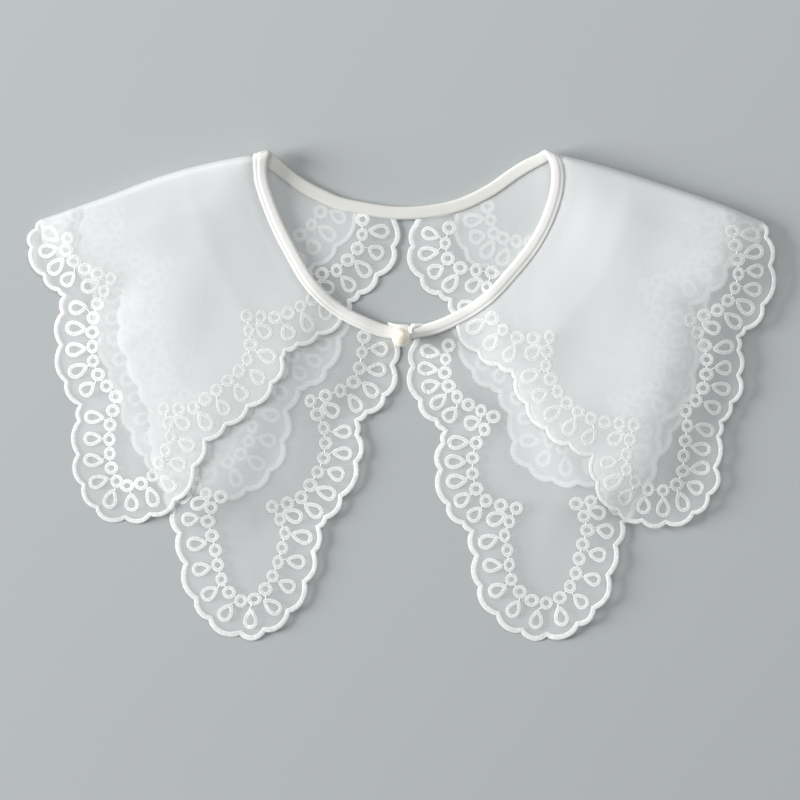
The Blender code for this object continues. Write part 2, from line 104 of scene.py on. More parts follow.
# Hems from the neck to the shoulder: x, y, and the scallops of the lobe that ends there
hems = {
    "upper_left_front": [
        (-27.5, 35.5, 0), (-38.5, 28.5, 0), (-54, 20.5, 4),
        (-60.5, 5, 0), (-72.5, -6.5, 0), (-91.5, -21.5, 6),
        (-97, -34, 0), (-106.5, -50, 0), (-124, -58, 0), (-142, -54.5, 0), (-150.5, -40.5, 0),
        (-152.5, -23.5, 0), (-151.5, -5, 10),
        (-158.5, 7.5, 0), (-160.5, 26, 0), (-159, 46.5, 5),
        (-169, 57.5, 0), (-174, 73, 0), (-169, 82.5, 5),
    ],
    "upper_left_back": [
        (-21, 84, 0), (-29.5, 71, 0), (-47.5, 55.5, 4),
        (-54.5, 30.5, 0), (-72, -9.5, 6),
        (-82, -26, 0), (-99, -45, 0), (-117, -33.5, 0), (-128, -14, 0), (-133, 1, 9),
        (-140, 21, 0), (-144, 50, 5),
        (-154.5, 62.5, 0), (-167, 73, 0), (-169, 82.5, 4),
    ],
    "under_left_front": [
        (-2, 25.5, 0), (-3.5, 13.5, 0), (-6.5, 1, 0), (-20, -12.5, 5),
        (-20.5, -31, 0), (-27.5, -47.5, 0), (-38, -62.5, 6),
        (-43, -83.5, 0), (-52, -101.5, 0), (-70, -113, 0), (-87.5, -108, 0),
        (-99, -92, 0), (-103, -73.5, 0), (-108, -54.5, 10),
        (-115, -31.5, 0), (-118, -8, 5),
        (-125, 9.5, 0), (-131, 28, 0), (-131, 48.5, 5),
        (-142, 54.5, 0), (-149, 69, 0), (-148, 88.5, 5),
    ],
    "under_left_back": [
        (-2.5, 81.5, 0), (-3.5, 67.5, 0), (-13.5, 53, 0), (-23.5, 43.5, 5),
        (-29.5, 25, 0), (-37.5, 9, 0), (-47.5, 2, 6),
        (-53.5, -6.5, 0), (-55, -21, 0), (-61.5, -35.5, 0), (-79.5, -47, 0), (-97, -42.5, 0),
        (-108.5, -23.5, 0), (-113.5, -5, 0), (-117, 9, 10),
        (-122.5, 23.5, 0), (-126, 49.5, 5),
        (-139.5, 62.5, 0), (-147, 76.5, 0), (-148, 88.5, 4),
    ],
    "upper_right_front": [
        (26.5, 31, 0), (39, 18, 0), (52, 10.5, 4),
        (59.5, -5, 0), (70.5, -18, 0), (89.5, -28.5, 6),
        (92, -41.5, 0), (103, -55, 0), (121.5, -60.5, 0), (138.5, -55, 0), (147, -42, 0),
        (148.5, -26, 0), (151, -13, 10),
        (158, 2.5, 0), (159, 18.5, 0), (159, 27, 5),
        (169.5, 40.5, 0), (173.5, 54, 0), (172.5, 70.5, 0), (170.5, 81, 6),
    ],
    "upper_right_back": [
        (26, 84, 0), (31.5, 66.5, 0), (48, 56.5, 4),
        (56, 30.5, 0), (73, -7, 6),
        (83, -25, 0), (100, -43.5, 0), (118, -32, 0), (129, -13.5, 0), (134, 1, 9),
        (140.5, 21, 0), (144.5, 49.5, 5),
        (155, 61.5, 0), (167, 72, 0), (170.5, 81, 4),
    ],
    "under_right_front": [
        (7, 25.5, 0), (5, 11.5, 0), (8.5, -2.5, 0), (20, -17, 5),
        (18, -35.5, 0), (23, -54, 0), (32.5, -64.5, 6),
        (35, -76.5, 0), (37.5, -92.5, 0), (45, -103.5, 0), (64.5, -113.5, 0),
        (81.5, -109.5, 0), (94.5, -95.5, 0), (100, -76, 0), (105, -60.5, 10),
        (118, -35.5, 0), (122, -13.5, 5),
        (134, -1.5, 0), (137.5, 16.5, 0), (136.5, 42, 5),
        (151, 55.5, 0), (154, 69, 0), (151, 88, 5),
    ],
    "under_right_back": [
        (7.5, 81.5, 0), (5, 68, 0), (10.5, 53.5, 0), (22.5, 44, 5),
        (27.5, 26.5, 0), (36, 8.5, 0), (46, 1, 6),
        (52, -12, 0), (54.5, -27.5, 0), (70, -39.5, 0), (89, -40.5, 0), (105.5, -28.5, 0),
        (112.5, -9.5, 0), (117, 7, 10),
        (123, 22, 0), (126, 48.5, 5),
        (139, 61.5, 0), (146, 75, 0), (151, 88, 4),
    ],
}
foldNest = {"upper": 0.0, "under": clothSizes["pitch"]}
# Where the scallops of each lobe end, as shares of the lobe; both halves are mirror images
scallopEnds = {
    "upper": [
        [0.43, 0.785, 1], [0.06, 0.285, 0.555, 0.79, 1],
        [0.11, 0.26, 0.37, 0.47, 0.59, 0.69, 0.81, 0.94, 1], [0.24, 0.57, 0.855, 1],
        [0.08, 0.32, 0.65, 0.88, 1],
    ],
    "under": [
        [0.26, 0.61, 0.875, 1], [0.11, 0.355, 0.675, 0.905, 1],
        [0.085, 0.19, 0.305, 0.405, 0.495, 0.61, 0.69, 0.815, 0.92, 1],
        [0.2, 0.41, 0.64, 0.87, 1], [0.05, 0.22, 0.47, 0.72, 0.9, 1],
        [0.2, 0.45, 0.7, 0.9, 1],
    ],
}


def arcLength(line):
    return np.concatenate([[0.0], np.cumsum(np.linalg.norm(np.diff(line, axis=0), axis=1))])


def resample(line, step=None, count=None):
    run = arcLength(line)
    count = count or max(1, round(run[-1] / step))
    places = np.linspace(0.0, run[-1], count + 1)
    return np.stack([np.interp(places, run, line[:, k]) for k in range(line.shape[1])], axis=1)


def smoothCurve(rows, step=0.25):
    points = np.array([row[:2] for row in rows], float)
    gaps = np.linalg.norm(np.diff(points, axis=0), axis=1)
    knots = np.concatenate([[0.0], np.cumsum(gaps)])
    slopes = np.gradient(points, knots, axis=0)
    places = np.linspace(0.0, knots[-1], max(2, math.ceil(knots[-1] / step)))
    k = np.clip(np.searchsorted(knots, places, side="right") - 1, 0, len(gaps) - 1)
    h = gaps[k][:, None]
    u = ((places - knots[k]) / gaps[k])[:, None]
    start = (1 + 2 * u) * (1 - u) ** 2 * points[k] + u * (1 - u) ** 2 * h * slopes[k]
    end = u * u * (3 - 2 * u) * points[k + 1] + u * u * (u - 1) * h * slopes[k + 1]
    return start + end


def leftNormals(line):
    way = np.gradient(line, axis=0)
    way /= np.linalg.norm(way, axis=1)[:, None]
    return np.stack([-way[:, 1], way[:, 0]], axis=1)


def nearest(line, place):
    return int(np.argmin(np.linalg.norm(line - place, axis=1)))


def between(line, start, end, step):
    i, j = nearest(line, start), nearest(line, end)
    stretch = line[i : j + 1] if i < j else line[j : i + 1][::-1]
    stretch = resample(stretch, step=step)
    stretch[0], stretch[-1] = start, end
    return stretch


def nearestStretch(points, line):
    # (distance, stretch, foot) for each point, in slices so that memory stays small
    start, way = line[:-1], np.diff(line, axis=0)
    found = []
    for k in range(0, len(points), 4000):
        offset = points[k : k + 4000, None] - start[None]
        share = np.clip((offset * way).sum(axis=2) / (way * way).sum(axis=1), 0.0, 1.0)
        gap = np.linalg.norm(offset - share[:, :, None] * way, axis=2)
        which = gap.argmin(axis=1)
        rows = np.arange(len(which))
        foot = start[which] + share[rows, which][:, None] * way[which]
        found.append((gap[rows, which], which, foot))
    return [np.concatenate(column) for column in zip(*found)]


def edgeDistance(points, line):
    return nearestStretch(points, line)[0]


def extended(line, reach=12.0):
    first = line[0] + (line[0] - line[1]) / np.linalg.norm(line[0] - line[1]) * reach
    last = line[-1] + (line[-1] - line[-2]) / np.linalg.norm(line[-1] - line[-2]) * reach
    return np.vstack([first, line, last])


def inside(points, outline):
    a, b = outline, np.roll(outline, -1, axis=0)
    rise = np.where(a[:, 1] == b[:, 1], 1.0, b[:, 1] - a[:, 1])
    found = []
    for k in range(0, len(points), 8000):
        x, y = points[k : k + 8000, :1], points[k : k + 8000, 1:2]
        spans = (a[:, 1] > y) != (b[:, 1] > y)
        crossing = a[:, 0] + (y - a[:, 1]) / rise * (b[:, 0] - a[:, 0])
        found.append((spans & (x < crossing)).sum(axis=1) % 2 == 1)
    return np.concatenate(found)


def lobeLines(rows):
    # One smooth line for each lobe, with its number of scallops
    lobes, lobe = [], [rows[0]]
    for row in rows[1:]:
        lobe.append(row)
        if row[2]:
            lobes.append((smoothCurve(lobe), row[2]))
            lobe = [row]
    return lobes


def hemLine(name):
    tier, side, _ = name.split("_")
    rows = hems[name]
    edge = [np.array([rows[0][:2]], float)]
    for (line, _), ends in zip(lobeLines(rows), scallopEnds[tier]):
        length = arcLength(line)[-1]
        places, rises = [], []
        for a, b in zip([0.0] + ends[:-1], ends):
            steps = max(3, round(length * (b - a) / clothSizes["edgeStep"]))
            turn = np.arange(1, steps + 1) / steps
            most = min(clothSizes["mostRise"], clothSizes["scallopRise"] * length * (b - a))
            places.append(a + (b - a) * turn)
            rises.append(most * np.sin(math.pi * turn) ** 0.75)
        share, rise = np.concatenate(places), np.nan_to_num(np.concatenate(rises))
        k = np.clip(np.round(share * (len(line) - 1)).astype(int), 0, len(line) - 1)
        lift = clothSizes["scallopBase"] * np.sin(math.pi * share) ** 0.3 + rise
        edge.append(line[k] + sides[side] * lift[:, None] * leftNormals(line)[k])
    return np.concatenate(edge)


# Binding edges

def bindingFoldRow(stretch, side, angle):
    line = smoothCurve(bindingBack if stretch == "back" else bindingFront[side])
    if stretch == "back" and side == "right":
        line = line[::-1]
    fold = np.array(bindingFolds[side], float)
    inward = leftNormals(fold)[0] * -sides[side]
    heading = line[nearest(line, line[0] + inward * bindingSizes["width"])] - line[0]
    heading /= heading @ inward
    return fold + heading * bindingSizes["foldRadius"] * (1.0 - math.cos(math.radians(angle)))


def bindingEdges(stretch, centre, neckSide, folds):
    line = smoothCurve(centre)
    across = leftNormals(line) * bindingSizes["width"] / 2 * neckSide
    edges = []
    for column, edge in ((1, line + across), (0, line - across)):
        ends = [bindingFoldRow(stretch, side, 90.0)[column] for side in folds]
        ends += [edge[-1]] * (2 - len(ends))
        drawn = between(edge, *ends, bindingSizes["step"])
        for k, end in enumerate(ends[: len(folds)]):
            run = arcLength(drawn) if k == 0 else arcLength(drawn[::-1])[::-1]
            fade = np.clip(1 - run / bindingSizes["flareRun"], 0, 1) ** 2
            flare = end - edge[nearest(edge, end)]
            drawn[1:-1] += fade[1:-1, None] * flare
        edges.append(drawn)
    count = max(len(edge) for edge in edges) - 1
    return [resample(edge, count=count) for edge in edges]


bindingLines = {
    "left": bindingEdges("left", bindingFront["left"], 1, ["left"]),
    "right": bindingEdges("right", bindingFront["right"], -1, ["right"]),
    "back": bindingEdges("back", bindingBack, 1, ["left", "right"]),
}


def neckSeam(stretch, outward):
    left, right = (np.array(bindingFolds[side][0], float) for side in sides)
    line = np.vstack([right if stretch == "right" else left, bindingLines[stretch][1]])
    if stretch == "back":
        line = np.vstack([line, right])
    return line - leftNormals(line) * clothSizes["tuck"] * outward  # sewn inside the binding


# Panels of the four layers, each with its hem, fold, outline and neighbours below

def layerPanel(name):
    tier, side, part = name.split("_")
    seams = {
        "front": neckSeam(side, -1 if side == "left" else 1),
        "back": neckSeam("back", -1),
    }
    upperFold = smoothCurve(shoulderFolds[side])
    fold = upperFold + sides[side] * foldNest[tier] * leftNormals(upperFold)
    start = max(int(edgeDistance(fold, seam).argmin()) for seam in seams.values())
    hem = hemLine(name)
    foldEnd = fold[nearest(fold, hem[-1])]
    fold = between(fold, fold[start + 3], foldEnd, 2.0)
    seam = resample(seams[part], step=0.25)
    i, j = nearest(seam, hem[0]), nearest(seam, fold[0])
    neck = seam[i : j + 1] if i < j else seam[j : i + 1][::-1]
    neck = resample(neck, step=2.0)
    hem[0] = neck[0]
    hem[-1] = fold[-1]
    neck[-1] = fold[0]
    rest = np.vstack([fold[-1:], hem[::-1][1:], neck[1:]])
    return {
        "tier": tier, "side": side, "part": part, "fold": fold, "hem": hem, "neck": neck,
        "outline": np.vstack([fold, rest[1:-1]]), "lobes": lobeLines(hems[name]),
    }


panels = {name: layerPanel(name) for name in hems}
necks = {
    f"{side}_{part}": panels[f"upper_{side}_{part}"]["neck"]
    for side in sides for part in ("front", "back")
}
bindingBackOutline = np.vstack([bindingLines["back"][0], bindingLines["back"][1][::-1]])
print("outlines of", len(panels), "panels drawn")


def supportField(outline, step=2.0):
    # How far an outline's cloth holds up what lies over it, read from a fine grid
    low = np.floor(outline.min(axis=0) - 26.0)
    size = np.ceil((outline.max(axis=0) + 26.0 - low) / step).astype(int) + 1
    xs, ys = (low[k] + step * np.arange(size[k]) for k in (0, 1))
    points = np.stack(np.meshgrid(xs, ys, indexing="ij"), axis=-1).reshape(-1, 2)
    distance = edgeDistance(points, resample(np.vstack([outline, outline[:1]]), step=3.0))
    distance = np.where(inside(points, outline), 0.0, distance)
    fall = np.clip((distance - clothSizes["drapeLead"]) / clothSizes["drapeRun"], 0.0, 1.0)
    return gridReader((1.0 - fall * fall * (3.0 - 2.0 * fall)).reshape(size), low, step)


def gridReader(grid, low, step):
    size = np.array(grid.shape)

    def read(places):
        at = (places - low) / step
        cell = np.clip(np.floor(at).astype(int), 0, size - 2)
        u, v = np.clip(at - cell, 0.0, 1.0).T
        i, j = cell.T
        near = grid[i, j] * (1 - u) + grid[i + 1, j] * u
        far = grid[i, j + 1] * (1 - u) + grid[i + 1, j + 1] * u
        return near * (1 - v) + far * v

    return read


supports = {name: supportField(panel["outline"]) for name, panel in panels.items()}
backSupport = supportField(bindingBackOutline)


def crownHeight(points, panel):
    # Crisp cloth rises off its hem and sinks to the pearl, the neck seam and the shoulder
    # fold. Hems that look to the right curl up where nothing lies on them.
    outline, hem, fold = panel["outline"], panel["hem"], panel["fold"]
    stretch = nearestStretch(points, np.vstack([outline, outline[:1]]))[1]
    onHem = (stretch >= len(fold) - 1) & (stretch < len(fold) + len(hem) - 2)
    beyond = onHem & ~inside(points, outline)
    away, which, foot = nearestStretch(points, hem)
    run = arcLength(hem)
    ahead, behind = (
        np.stack([np.interp(run[which] + reach, run, hem[:, k]) for k in (0, 1)], axis=1)
        for reach in (clothSizes["hemWay"], -clothSizes["hemWay"])
    )
    way = ahead - behind
    facing = -sides[panel["side"]] * way[:, 1] / np.linalg.norm(way, axis=1)
    curl = clothSizes["curl"][panel["tier"]] * np.clip(facing, 0.0, 1.0)
    crown = clothSizes["crown"][panel["tier"]] * (1 - np.exp(-away / clothSizes["crownRun"]))
    if panel["tier"] == "under":
        over = panels[f"upper_{panel['side']}_front"]["outline"]
        bare = edgeDistance(foot, np.vstack([over, over[:1]])) / clothSizes["bareRun"]
        curl = curl * np.where(inside(foot, over), 0.0, np.clip(bare, 0.0, 1.0))
    height = crown + curl * np.exp(-away / clothSizes["curlRun"])
    height = np.where(beyond, curl * np.exp(-away / clothSizes["curlEnd"]), height)
    seam = edgeDistance(points, panel["neck"]) - bindingSizes["width"]
    seamed = np.clip(seam / clothSizes["seamRun"], 0.0, 1.0)
    height *= clothSizes["seamShare"] + (1 - clothSizes["seamShare"]) * seamed
    pearl = np.linalg.norm(points - np.array([0.0, 27.0]), axis=1)
    near = np.clip((pearl - 8.0) / 26.0, 0.0, 1.0)
    folded = 0.45 + 0.55 * np.clip(edgeDistance(points, fold) / 20.0, 0.0, 1.0)
    return height * near * near * (3 - 2 * near) * folded


def crownField(panel, step=2.0):
    low = np.floor(panel["outline"].min(axis=0) - 16.0)
    size = np.ceil((panel["outline"].max(axis=0) + 16.0 - low) / step).astype(int) + 1
    xs, ys = (low[k] + step * np.arange(size[k]) for k in (0, 1))
    points = np.stack(np.meshgrid(xs, ys, indexing="ij"), axis=-1).reshape(-1, 2)
    return gridReader(crownHeight(points, panel).reshape(size), low, step)


crowns = {name: crownField(panels[name]) for name in panels if name.endswith("front")}
print("supports read")

rippleWaves = [  # wavelength in mm, heading in degrees, height in mm
    (52.0, 15.0, 0.20), (34.0, 70.0, 0.12), (66.0, 140.0, 0.24), (24.0, 165.0, 0.05),
]


def ripple(points, shift):
    height = np.zeros(len(points))
    for k, (length, heading, size) in enumerate(rippleWaves):
        way = np.array([math.cos(math.radians(heading)), math.sin(math.radians(heading))])
        height += size * np.sin(points @ way * 2 * math.pi / length + shift + 1.7 * k)
    return height


def lowerPanels(tier, side, part):
    stack = [f"upper_{side}_back", f"under_{side}_back", f"under_{side}_front"]
    return {
        "upper_front": stack, "upper_back": [], "under_front": stack[:2], "under_back": stack[:1],
    }[f"{tier}_{part}"]


def layerHeight(points, tier, side, part):
    height = np.full(len(points), clothSizes["wall"] / 2)
    for name in lowerPanels(tier, side, part):
        height += clothSizes["pitch"] * supports[name](points)
    return height


def clothCrown(points, tier, side):
    # The right front also leans up towards its outer hem
    height = crowns[f"under_{side}_front"](points)
    if side == "right":
        leaning = clothSizes["lean"] * np.maximum(points[:, 0] - clothSizes["leanFrom"], 0.0)
        folded = edgeDistance(points, panels["upper_right_front"]["fold"]) / 24.0
        height = height + leaning * np.clip(0.3 + 0.7 * folded, 0.3, 1.0)
    if tier == "upper":
        height = height + crowns[f"upper_{side}_front"](points)
    return height


def cornerLift(points, fold):
    # The neck corner, where the binding stands up
    corner = np.linalg.norm(points - fold[0], axis=1) / clothSizes["cornerRun"]
    return clothSizes["corner"] * np.exp(-corner * corner - 0.6 * corner)


def loft(points, fold):
    # The fold springs open, most of all at the neck corner
    spring = clothSizes["loft"] * np.exp(-edgeDistance(points, fold) / clothSizes["loftRun"])
    along = np.exp(-edgeDistance(points, fold) / clothSizes["cornerRun"])
    return spring + cornerLift(points, fold) * along


def backLift(points, fold):
    along = np.exp(-edgeDistance(points, fold) / clothSizes["cornerRun"])
    return clothSizes["backCorner"] * cornerLift(points, fold) * along


def bent(points, fold, clothSide, heightsFor, part):
    # Points in space and outward vectors; what lies past the fold goes round to the other panel
    axis = extended(fold)
    distance, stretch, foot = nearestStretch(points, axis)
    way = np.diff(axis, axis=0)[stretch]
    way /= np.linalg.norm(way, axis=1)[:, None]
    away = np.stack([way[:, 1], -way[:, 0]], axis=1) * clothSide
    past = ((points - foot) * away).sum(axis=1)
    over = past > 0
    flat = np.where(over[:, None], points - 2 * past[:, None] * away, points)
    front, back = heightsFor(flat)
    here, across = (front, back) if part == "front" else (back, front)
    here, across = np.where(over, across, here), np.where(over, here, across)
    middle, half = (here + across) / 2, (here - across) / 2
    outward = np.clip(1.0 - distance / np.abs(half), 0.0, 1.0)
    upward = np.sqrt(1.0 - outward * outward) * np.sign(half)
    raised = np.column_stack([flat, middle + np.abs(half) * upward])
    return raised, np.column_stack([away * outward[:, None], upward])


def onPanel(panel, points):
    tier, side = panel["tier"], panel["side"]
    fold = panel["fold"]

    def heightsFor(flat):
        folded = edgeDistance(flat, fold)
        seams = [edgeDistance(flat, necks[f"{side}_{part}"]) for part in ("front", "back")]
        frontCalm, backCalm = (
            np.clip(np.minimum(folded, seam) / clothSizes["calmRun"], 0, 1) for seam in seams
        )
        frontDip, backDip = (
            clothSizes["tuckDip"] * np.exp(-seam / clothSizes["tuckRun"]) for seam in seams
        )
        air = clothCrown(flat, tier, side)
        wave = ripple(flat, 0.0) * np.minimum(frontCalm, air / 2.0)
        front = layerHeight(flat, tier, side, "front") + loft(flat, fold) + air + wave
        back = layerHeight(flat, tier, side, "back") + backLift(flat, fold)
        if tier == "upper":
            return front - frontDip, back
        spring = clothSizes["backShare"] * (ripple(flat, 0.0) + 1.4) * backCalm
        return front, back + spring - backDip

    return bent(points, fold, sides[side], heightsFor, panel["part"])


def coverage(points, names):
    # How many of the named panels lie under each point, softened over 3 mm at their hems
    count = np.zeros(len(points))
    for name in names:
        outline = panels[name]["outline"]
        gap = edgeDistance(points, np.vstack([outline, outline[:1]]))
        depth = np.where(inside(points, outline), gap, -gap)
        share = np.clip((depth + 0.6) / 2.6, 0.0, 1.0)
        count += share * share * (3 - 2 * share)
    return count


def triangulate(outline, extra):
    points = np.vstack([outline, extra])
    count = len(outline)
    ring = [(k, (k + 1) % count) for k in range(count)]
    vectors = [Vector((float(x), float(y))) for x, y in points]
    result = delaunay_2d_cdt(vectors, ring, [], 0, 1e-5, False)
    flat = np.array([tuple(v) for v in result[0]])
    triangles = np.array(result[2])
    return flat, triangles[inside(flat[triangles].mean(axis=1), outline)]


def panelMesh(panel):
    outline, fold, grid = panel["outline"], panel["fold"], clothSizes["grid"]
    low, high = outline.min(axis=0), outline.max(axis=0)
    rowGap = grid * math.sqrt(3) / 2
    rows = np.arange(math.floor(low[1] / rowGap), math.ceil(high[1] / rowGap) + 1)
    columns = np.arange(math.floor(low[0] / grid) - 1, math.ceil(high[0] / grid) + 1)
    extra = np.array([((c + 0.5 * (r % 2)) * grid, r * rowGap) for r in rows for c in columns])
    closedLine = np.vstack([outline, outline[:1]])
    extra = extra[inside(extra, outline) & (edgeDistance(extra, closedLine) > 0.5 * grid)]
    half = clothSizes["foldHalf"]
    extra = extra[edgeDistance(extra, extended(fold)) > half + 0.4 * grid]
    normals = leftNormals(fold) * sides[panel["side"]]
    rest = outline[len(fold) :]
    for angle in clothSizes["foldAngles"]:
        row = fold + normals * half * (1.0 - math.cos(math.radians(angle)))
        row = row[inside(row, outline)]
        apart = np.linalg.norm(row[:, None] - rest[None], axis=2).min(axis=1)
        extra = np.vstack([extra, row[apart > 0.6]])
    flat, triangles = triangulate(outline, extra)
    points, outward = onPanel(panel, flat)
    if panel["part"] == "back":
        triangles = triangles[:, ::-1]
    names = lowerPanels(panel["tier"], panel["side"], panel["part"])
    closing = 1.0 if panel["part"] == "front" else 0.4  # the back sheets lie apart
    return points, triangles, coverage(flat, names) * closing


# Materials

def linear(hexColour):
    values = [int(hexColour[k : k + 2], 16) / 255 for k in (1, 3, 5)]
    return (*(v / 12.92 if v <= 0.04045 else ((v + 0.055) / 1.055) ** 2.4 for v in values), 1.0)


def addNode(tree, kind, settings=None, inputs=None, links=None):
    # One node, its settings, its plain input values and the sockets that feed it
    node = tree.nodes.new(kind)
    for name, value in (settings or {}).items():
        setattr(node, name, value)
    for name, value in (inputs or {}).items():
        node.inputs[name].default_value = value
    for name, socket in (links or {}).items():
        tree.links.new(socket, node.inputs[name])
    return node


def newMaterial(name):
    material = bpy.data.materials.new(name)
    material.use_nodes = True
    material.node_tree.nodes.clear()
    return material, material.node_tree


def finishMaterial(material, shader):
    output = addNode(material.node_tree, "ShaderNodeOutputMaterial")
    material.node_tree.links.new(shader, output.inputs["Surface"])
    return material


organzaLook = {
    "colour": "#F7F9F9", "glow": 0.14, "roughness": 0.6,
    "openSingle": 0.56, "openDouble": 0.39, "openStack": 0.33, "weave": 1.5,
}


def makeOrganza(look):
    # Polyester organza: fine twisted yarns 0.25 mm apart with open gaps, part see-through, part
    # matt white, part lit from behind. On other cloth the yarns below close the gaps, and the
    # two weaves beat in wavy moire lines, drawn 1.5 mm apart.
    material, tree = newMaterial("organza")
    place = addNode(tree, "ShaderNodeTexCoord")
    stacked = addNode(tree, "ShaderNodeAttribute", {"attribute_name": "stacked"})
    drift = addNode(
        tree, "ShaderNodeTexNoise", None, {"Scale": 34.0, "Detail": 3.0, "Roughness": 0.55},
        {"Vector": place.outputs["Object"]},
    )
    moire = addNode(
        tree, "ShaderNodeTexWave",
        {"wave_type": "BANDS", "bands_direction": "Y", "wave_profile": "SIN"},
        {"Scale": 2 * math.pi / (look["weave"] * mm) / 20, "Distortion": 3.5, "Detail": 2.0,
         "Detail Scale": 0.35},
        {"Vector": place.outputs["Object"]},
    )
    closed = addNode(
        tree, "ShaderNodeMapRange", None,
        {"From Min": 0.0, "From Max": 1.0, "To Min": look["openSingle"],
         "To Max": look["openDouble"]},
        {"Value": stacked.outputs["Fac"]},
    )
    closer = addNode(
        tree, "ShaderNodeMapRange", None,
        {"From Min": 1.0, "From Max": 2.5, "To Min": 0.0,
         "To Max": look["openDouble"] - look["openStack"]},
        {"Value": stacked.outputs["Fac"]},
    )
    base = addNode(
        tree, "ShaderNodeMath", {"operation": "SUBTRACT"},
        links={0: closed.outputs[0], 1: closer.outputs[0]},
    )
    unevenness = addNode(
        tree, "ShaderNodeMath", {"operation": "MULTIPLY_ADD"}, {1: 0.22},
        {0: moire.outputs["Fac"], 2: drift.outputs["Fac"]},
    )
    share = addNode(
        tree, "ShaderNodeMapRange", None,
        {"From Min": 0.3, "From Max": 0.9, "To Min": 0.95, "To Max": 1.05},
        {"Value": unevenness.outputs[0]},
    )
    gaps = addNode(
        tree, "ShaderNodeMath", {"operation": "MULTIPLY"},
        links={0: base.outputs[0], 1: share.outputs[0]},
    )
    cloth = addNode(
        tree, "ShaderNodeBsdfPrincipled", None,
        {"Base Color": linear(look["colour"]), "Roughness": look["roughness"], "IOR": 1.5,
         "Specular IOR Level": 0.2, "Sheen Weight": 0.1, "Sheen Roughness": 0.4},
    )
    glow = addNode(
        tree, "ShaderNodeBsdfTranslucent", None, {"Color": linear(look["colour"])}
    )
    lit = addNode(
        tree, "ShaderNodeMixShader", None, {"Fac": look["glow"]},
        {1: cloth.outputs[0], 2: glow.outputs[0]},
    )
    clear = addNode(tree, "ShaderNodeBsdfTransparent")
    mixed = addNode(
        tree, "ShaderNodeMixShader", None, None,
        {"Fac": gaps.outputs[0], 1: lit.outputs[0], 2: clear.outputs[0]},
    )
    return finishMaterial(material, mixed.outputs[0])


threadLook = {
    "colour": "#ECEDEC", "shade": "#C5C7C7", "paintedGlow": 0.08, "roughness": 0.55, "stitches": 22.0,
    "tufts": 900.0,
}


def makeStitchThread(look):
    # Satin-stitch rayon thread: close parallel strands with a soft lustre along them. The rims, where the strands
    # turn, are painted lighter than the ridge, a painted highlight.
    # Stitches are 0.3 mm apart, drawn 0.6 mm apart to show.
    material, tree = newMaterial("satin_stitch_thread")
    local = addNode(tree, "ShaderNodeAttribute", {"attribute_name": "stitchPlace"})
    rim = addNode(tree, "ShaderNodeAttribute", {"attribute_name": "rim"})
    place = addNode(tree, "ShaderNodeTexCoord")
    parts = addNode(tree, "ShaderNodeSeparateXYZ", links={0: local.outputs["Vector"]})
    turn = addNode(
        tree, "ShaderNodeMath", {"operation": "ARCTAN2"},
        links={0: parts.outputs["Y"], 1: parts.outputs["X"]},
    )
    strand = addNode(
        tree, "ShaderNodeMath", {"operation": "MULTIPLY_ADD"}, {1: look["stitches"]},
        {0: turn.outputs[0], 2: parts.outputs["Z"]},
    )
    wave = addNode(tree, "ShaderNodeMath", {"operation": "SINE"}, links={0: strand.outputs[0]})
    tufts = addNode(
        tree, "ShaderNodeTexNoise", None, {"Scale": look["tufts"], "Detail": 2.0},
        {"Vector": place.outputs["Object"]},
    )
    stitch = addNode(
        tree, "ShaderNodeMath", {"operation": "MULTIPLY_ADD"}, {1: 0.16},
        {0: wave.outputs[0], 2: tufts.outputs["Fac"]},
    )
    # painted highlight: the rims lighten the colour; the stitches and tufts add their own pattern
    raised = addNode(
        tree, "ShaderNodeMath", {"operation": "MULTIPLY_ADD"}, {1: 0.9},
        {0: rim.outputs["Fac"], 2: stitch.outputs[0]},
    )
    lift = addNode(
        tree, "ShaderNodeMapRange", None, {"From Min": 0.3, "From Max": 1.0},
        {"Value": raised.outputs[0]},
    )
    colour = addNode(
        tree, "ShaderNodeMix", {"data_type": "RGBA"},
        {6: linear(look["shade"]), 7: linear(look["colour"])}, {0: lift.outputs[0]},
    )
    bump = addNode(
        tree, "ShaderNodeBump", None, {"Strength": 0.25, "Distance": 0.0002},
        {"Height": lift.outputs[0]},
    )
    # painted glow: the thread emits a little light in its own colour, so it reads brighter, also under the cloth
    shader = addNode(
        tree, "ShaderNodeBsdfPrincipled", None,
        {"Roughness": look["roughness"], "IOR": 1.53, "Sheen Weight": 0.2,
         "Sheen Roughness": 0.35, "Emission Color": linear(look["colour"]),
         "Emission Strength": look["paintedGlow"]},
        {"Base Color": colour.outputs[2], "Normal": bump.outputs[0]},
    )
    return finishMaterial(material, shader.outputs[0])


# the third colour is a painted shade, used on the tape along the back neck
bindingLook = {
    "colour": "#F2F2EF", "shade": "#E9E9E5", "backNeckShade": "#DFDFDA", "roughness": 0.65,
    "twill": 0.55,
}


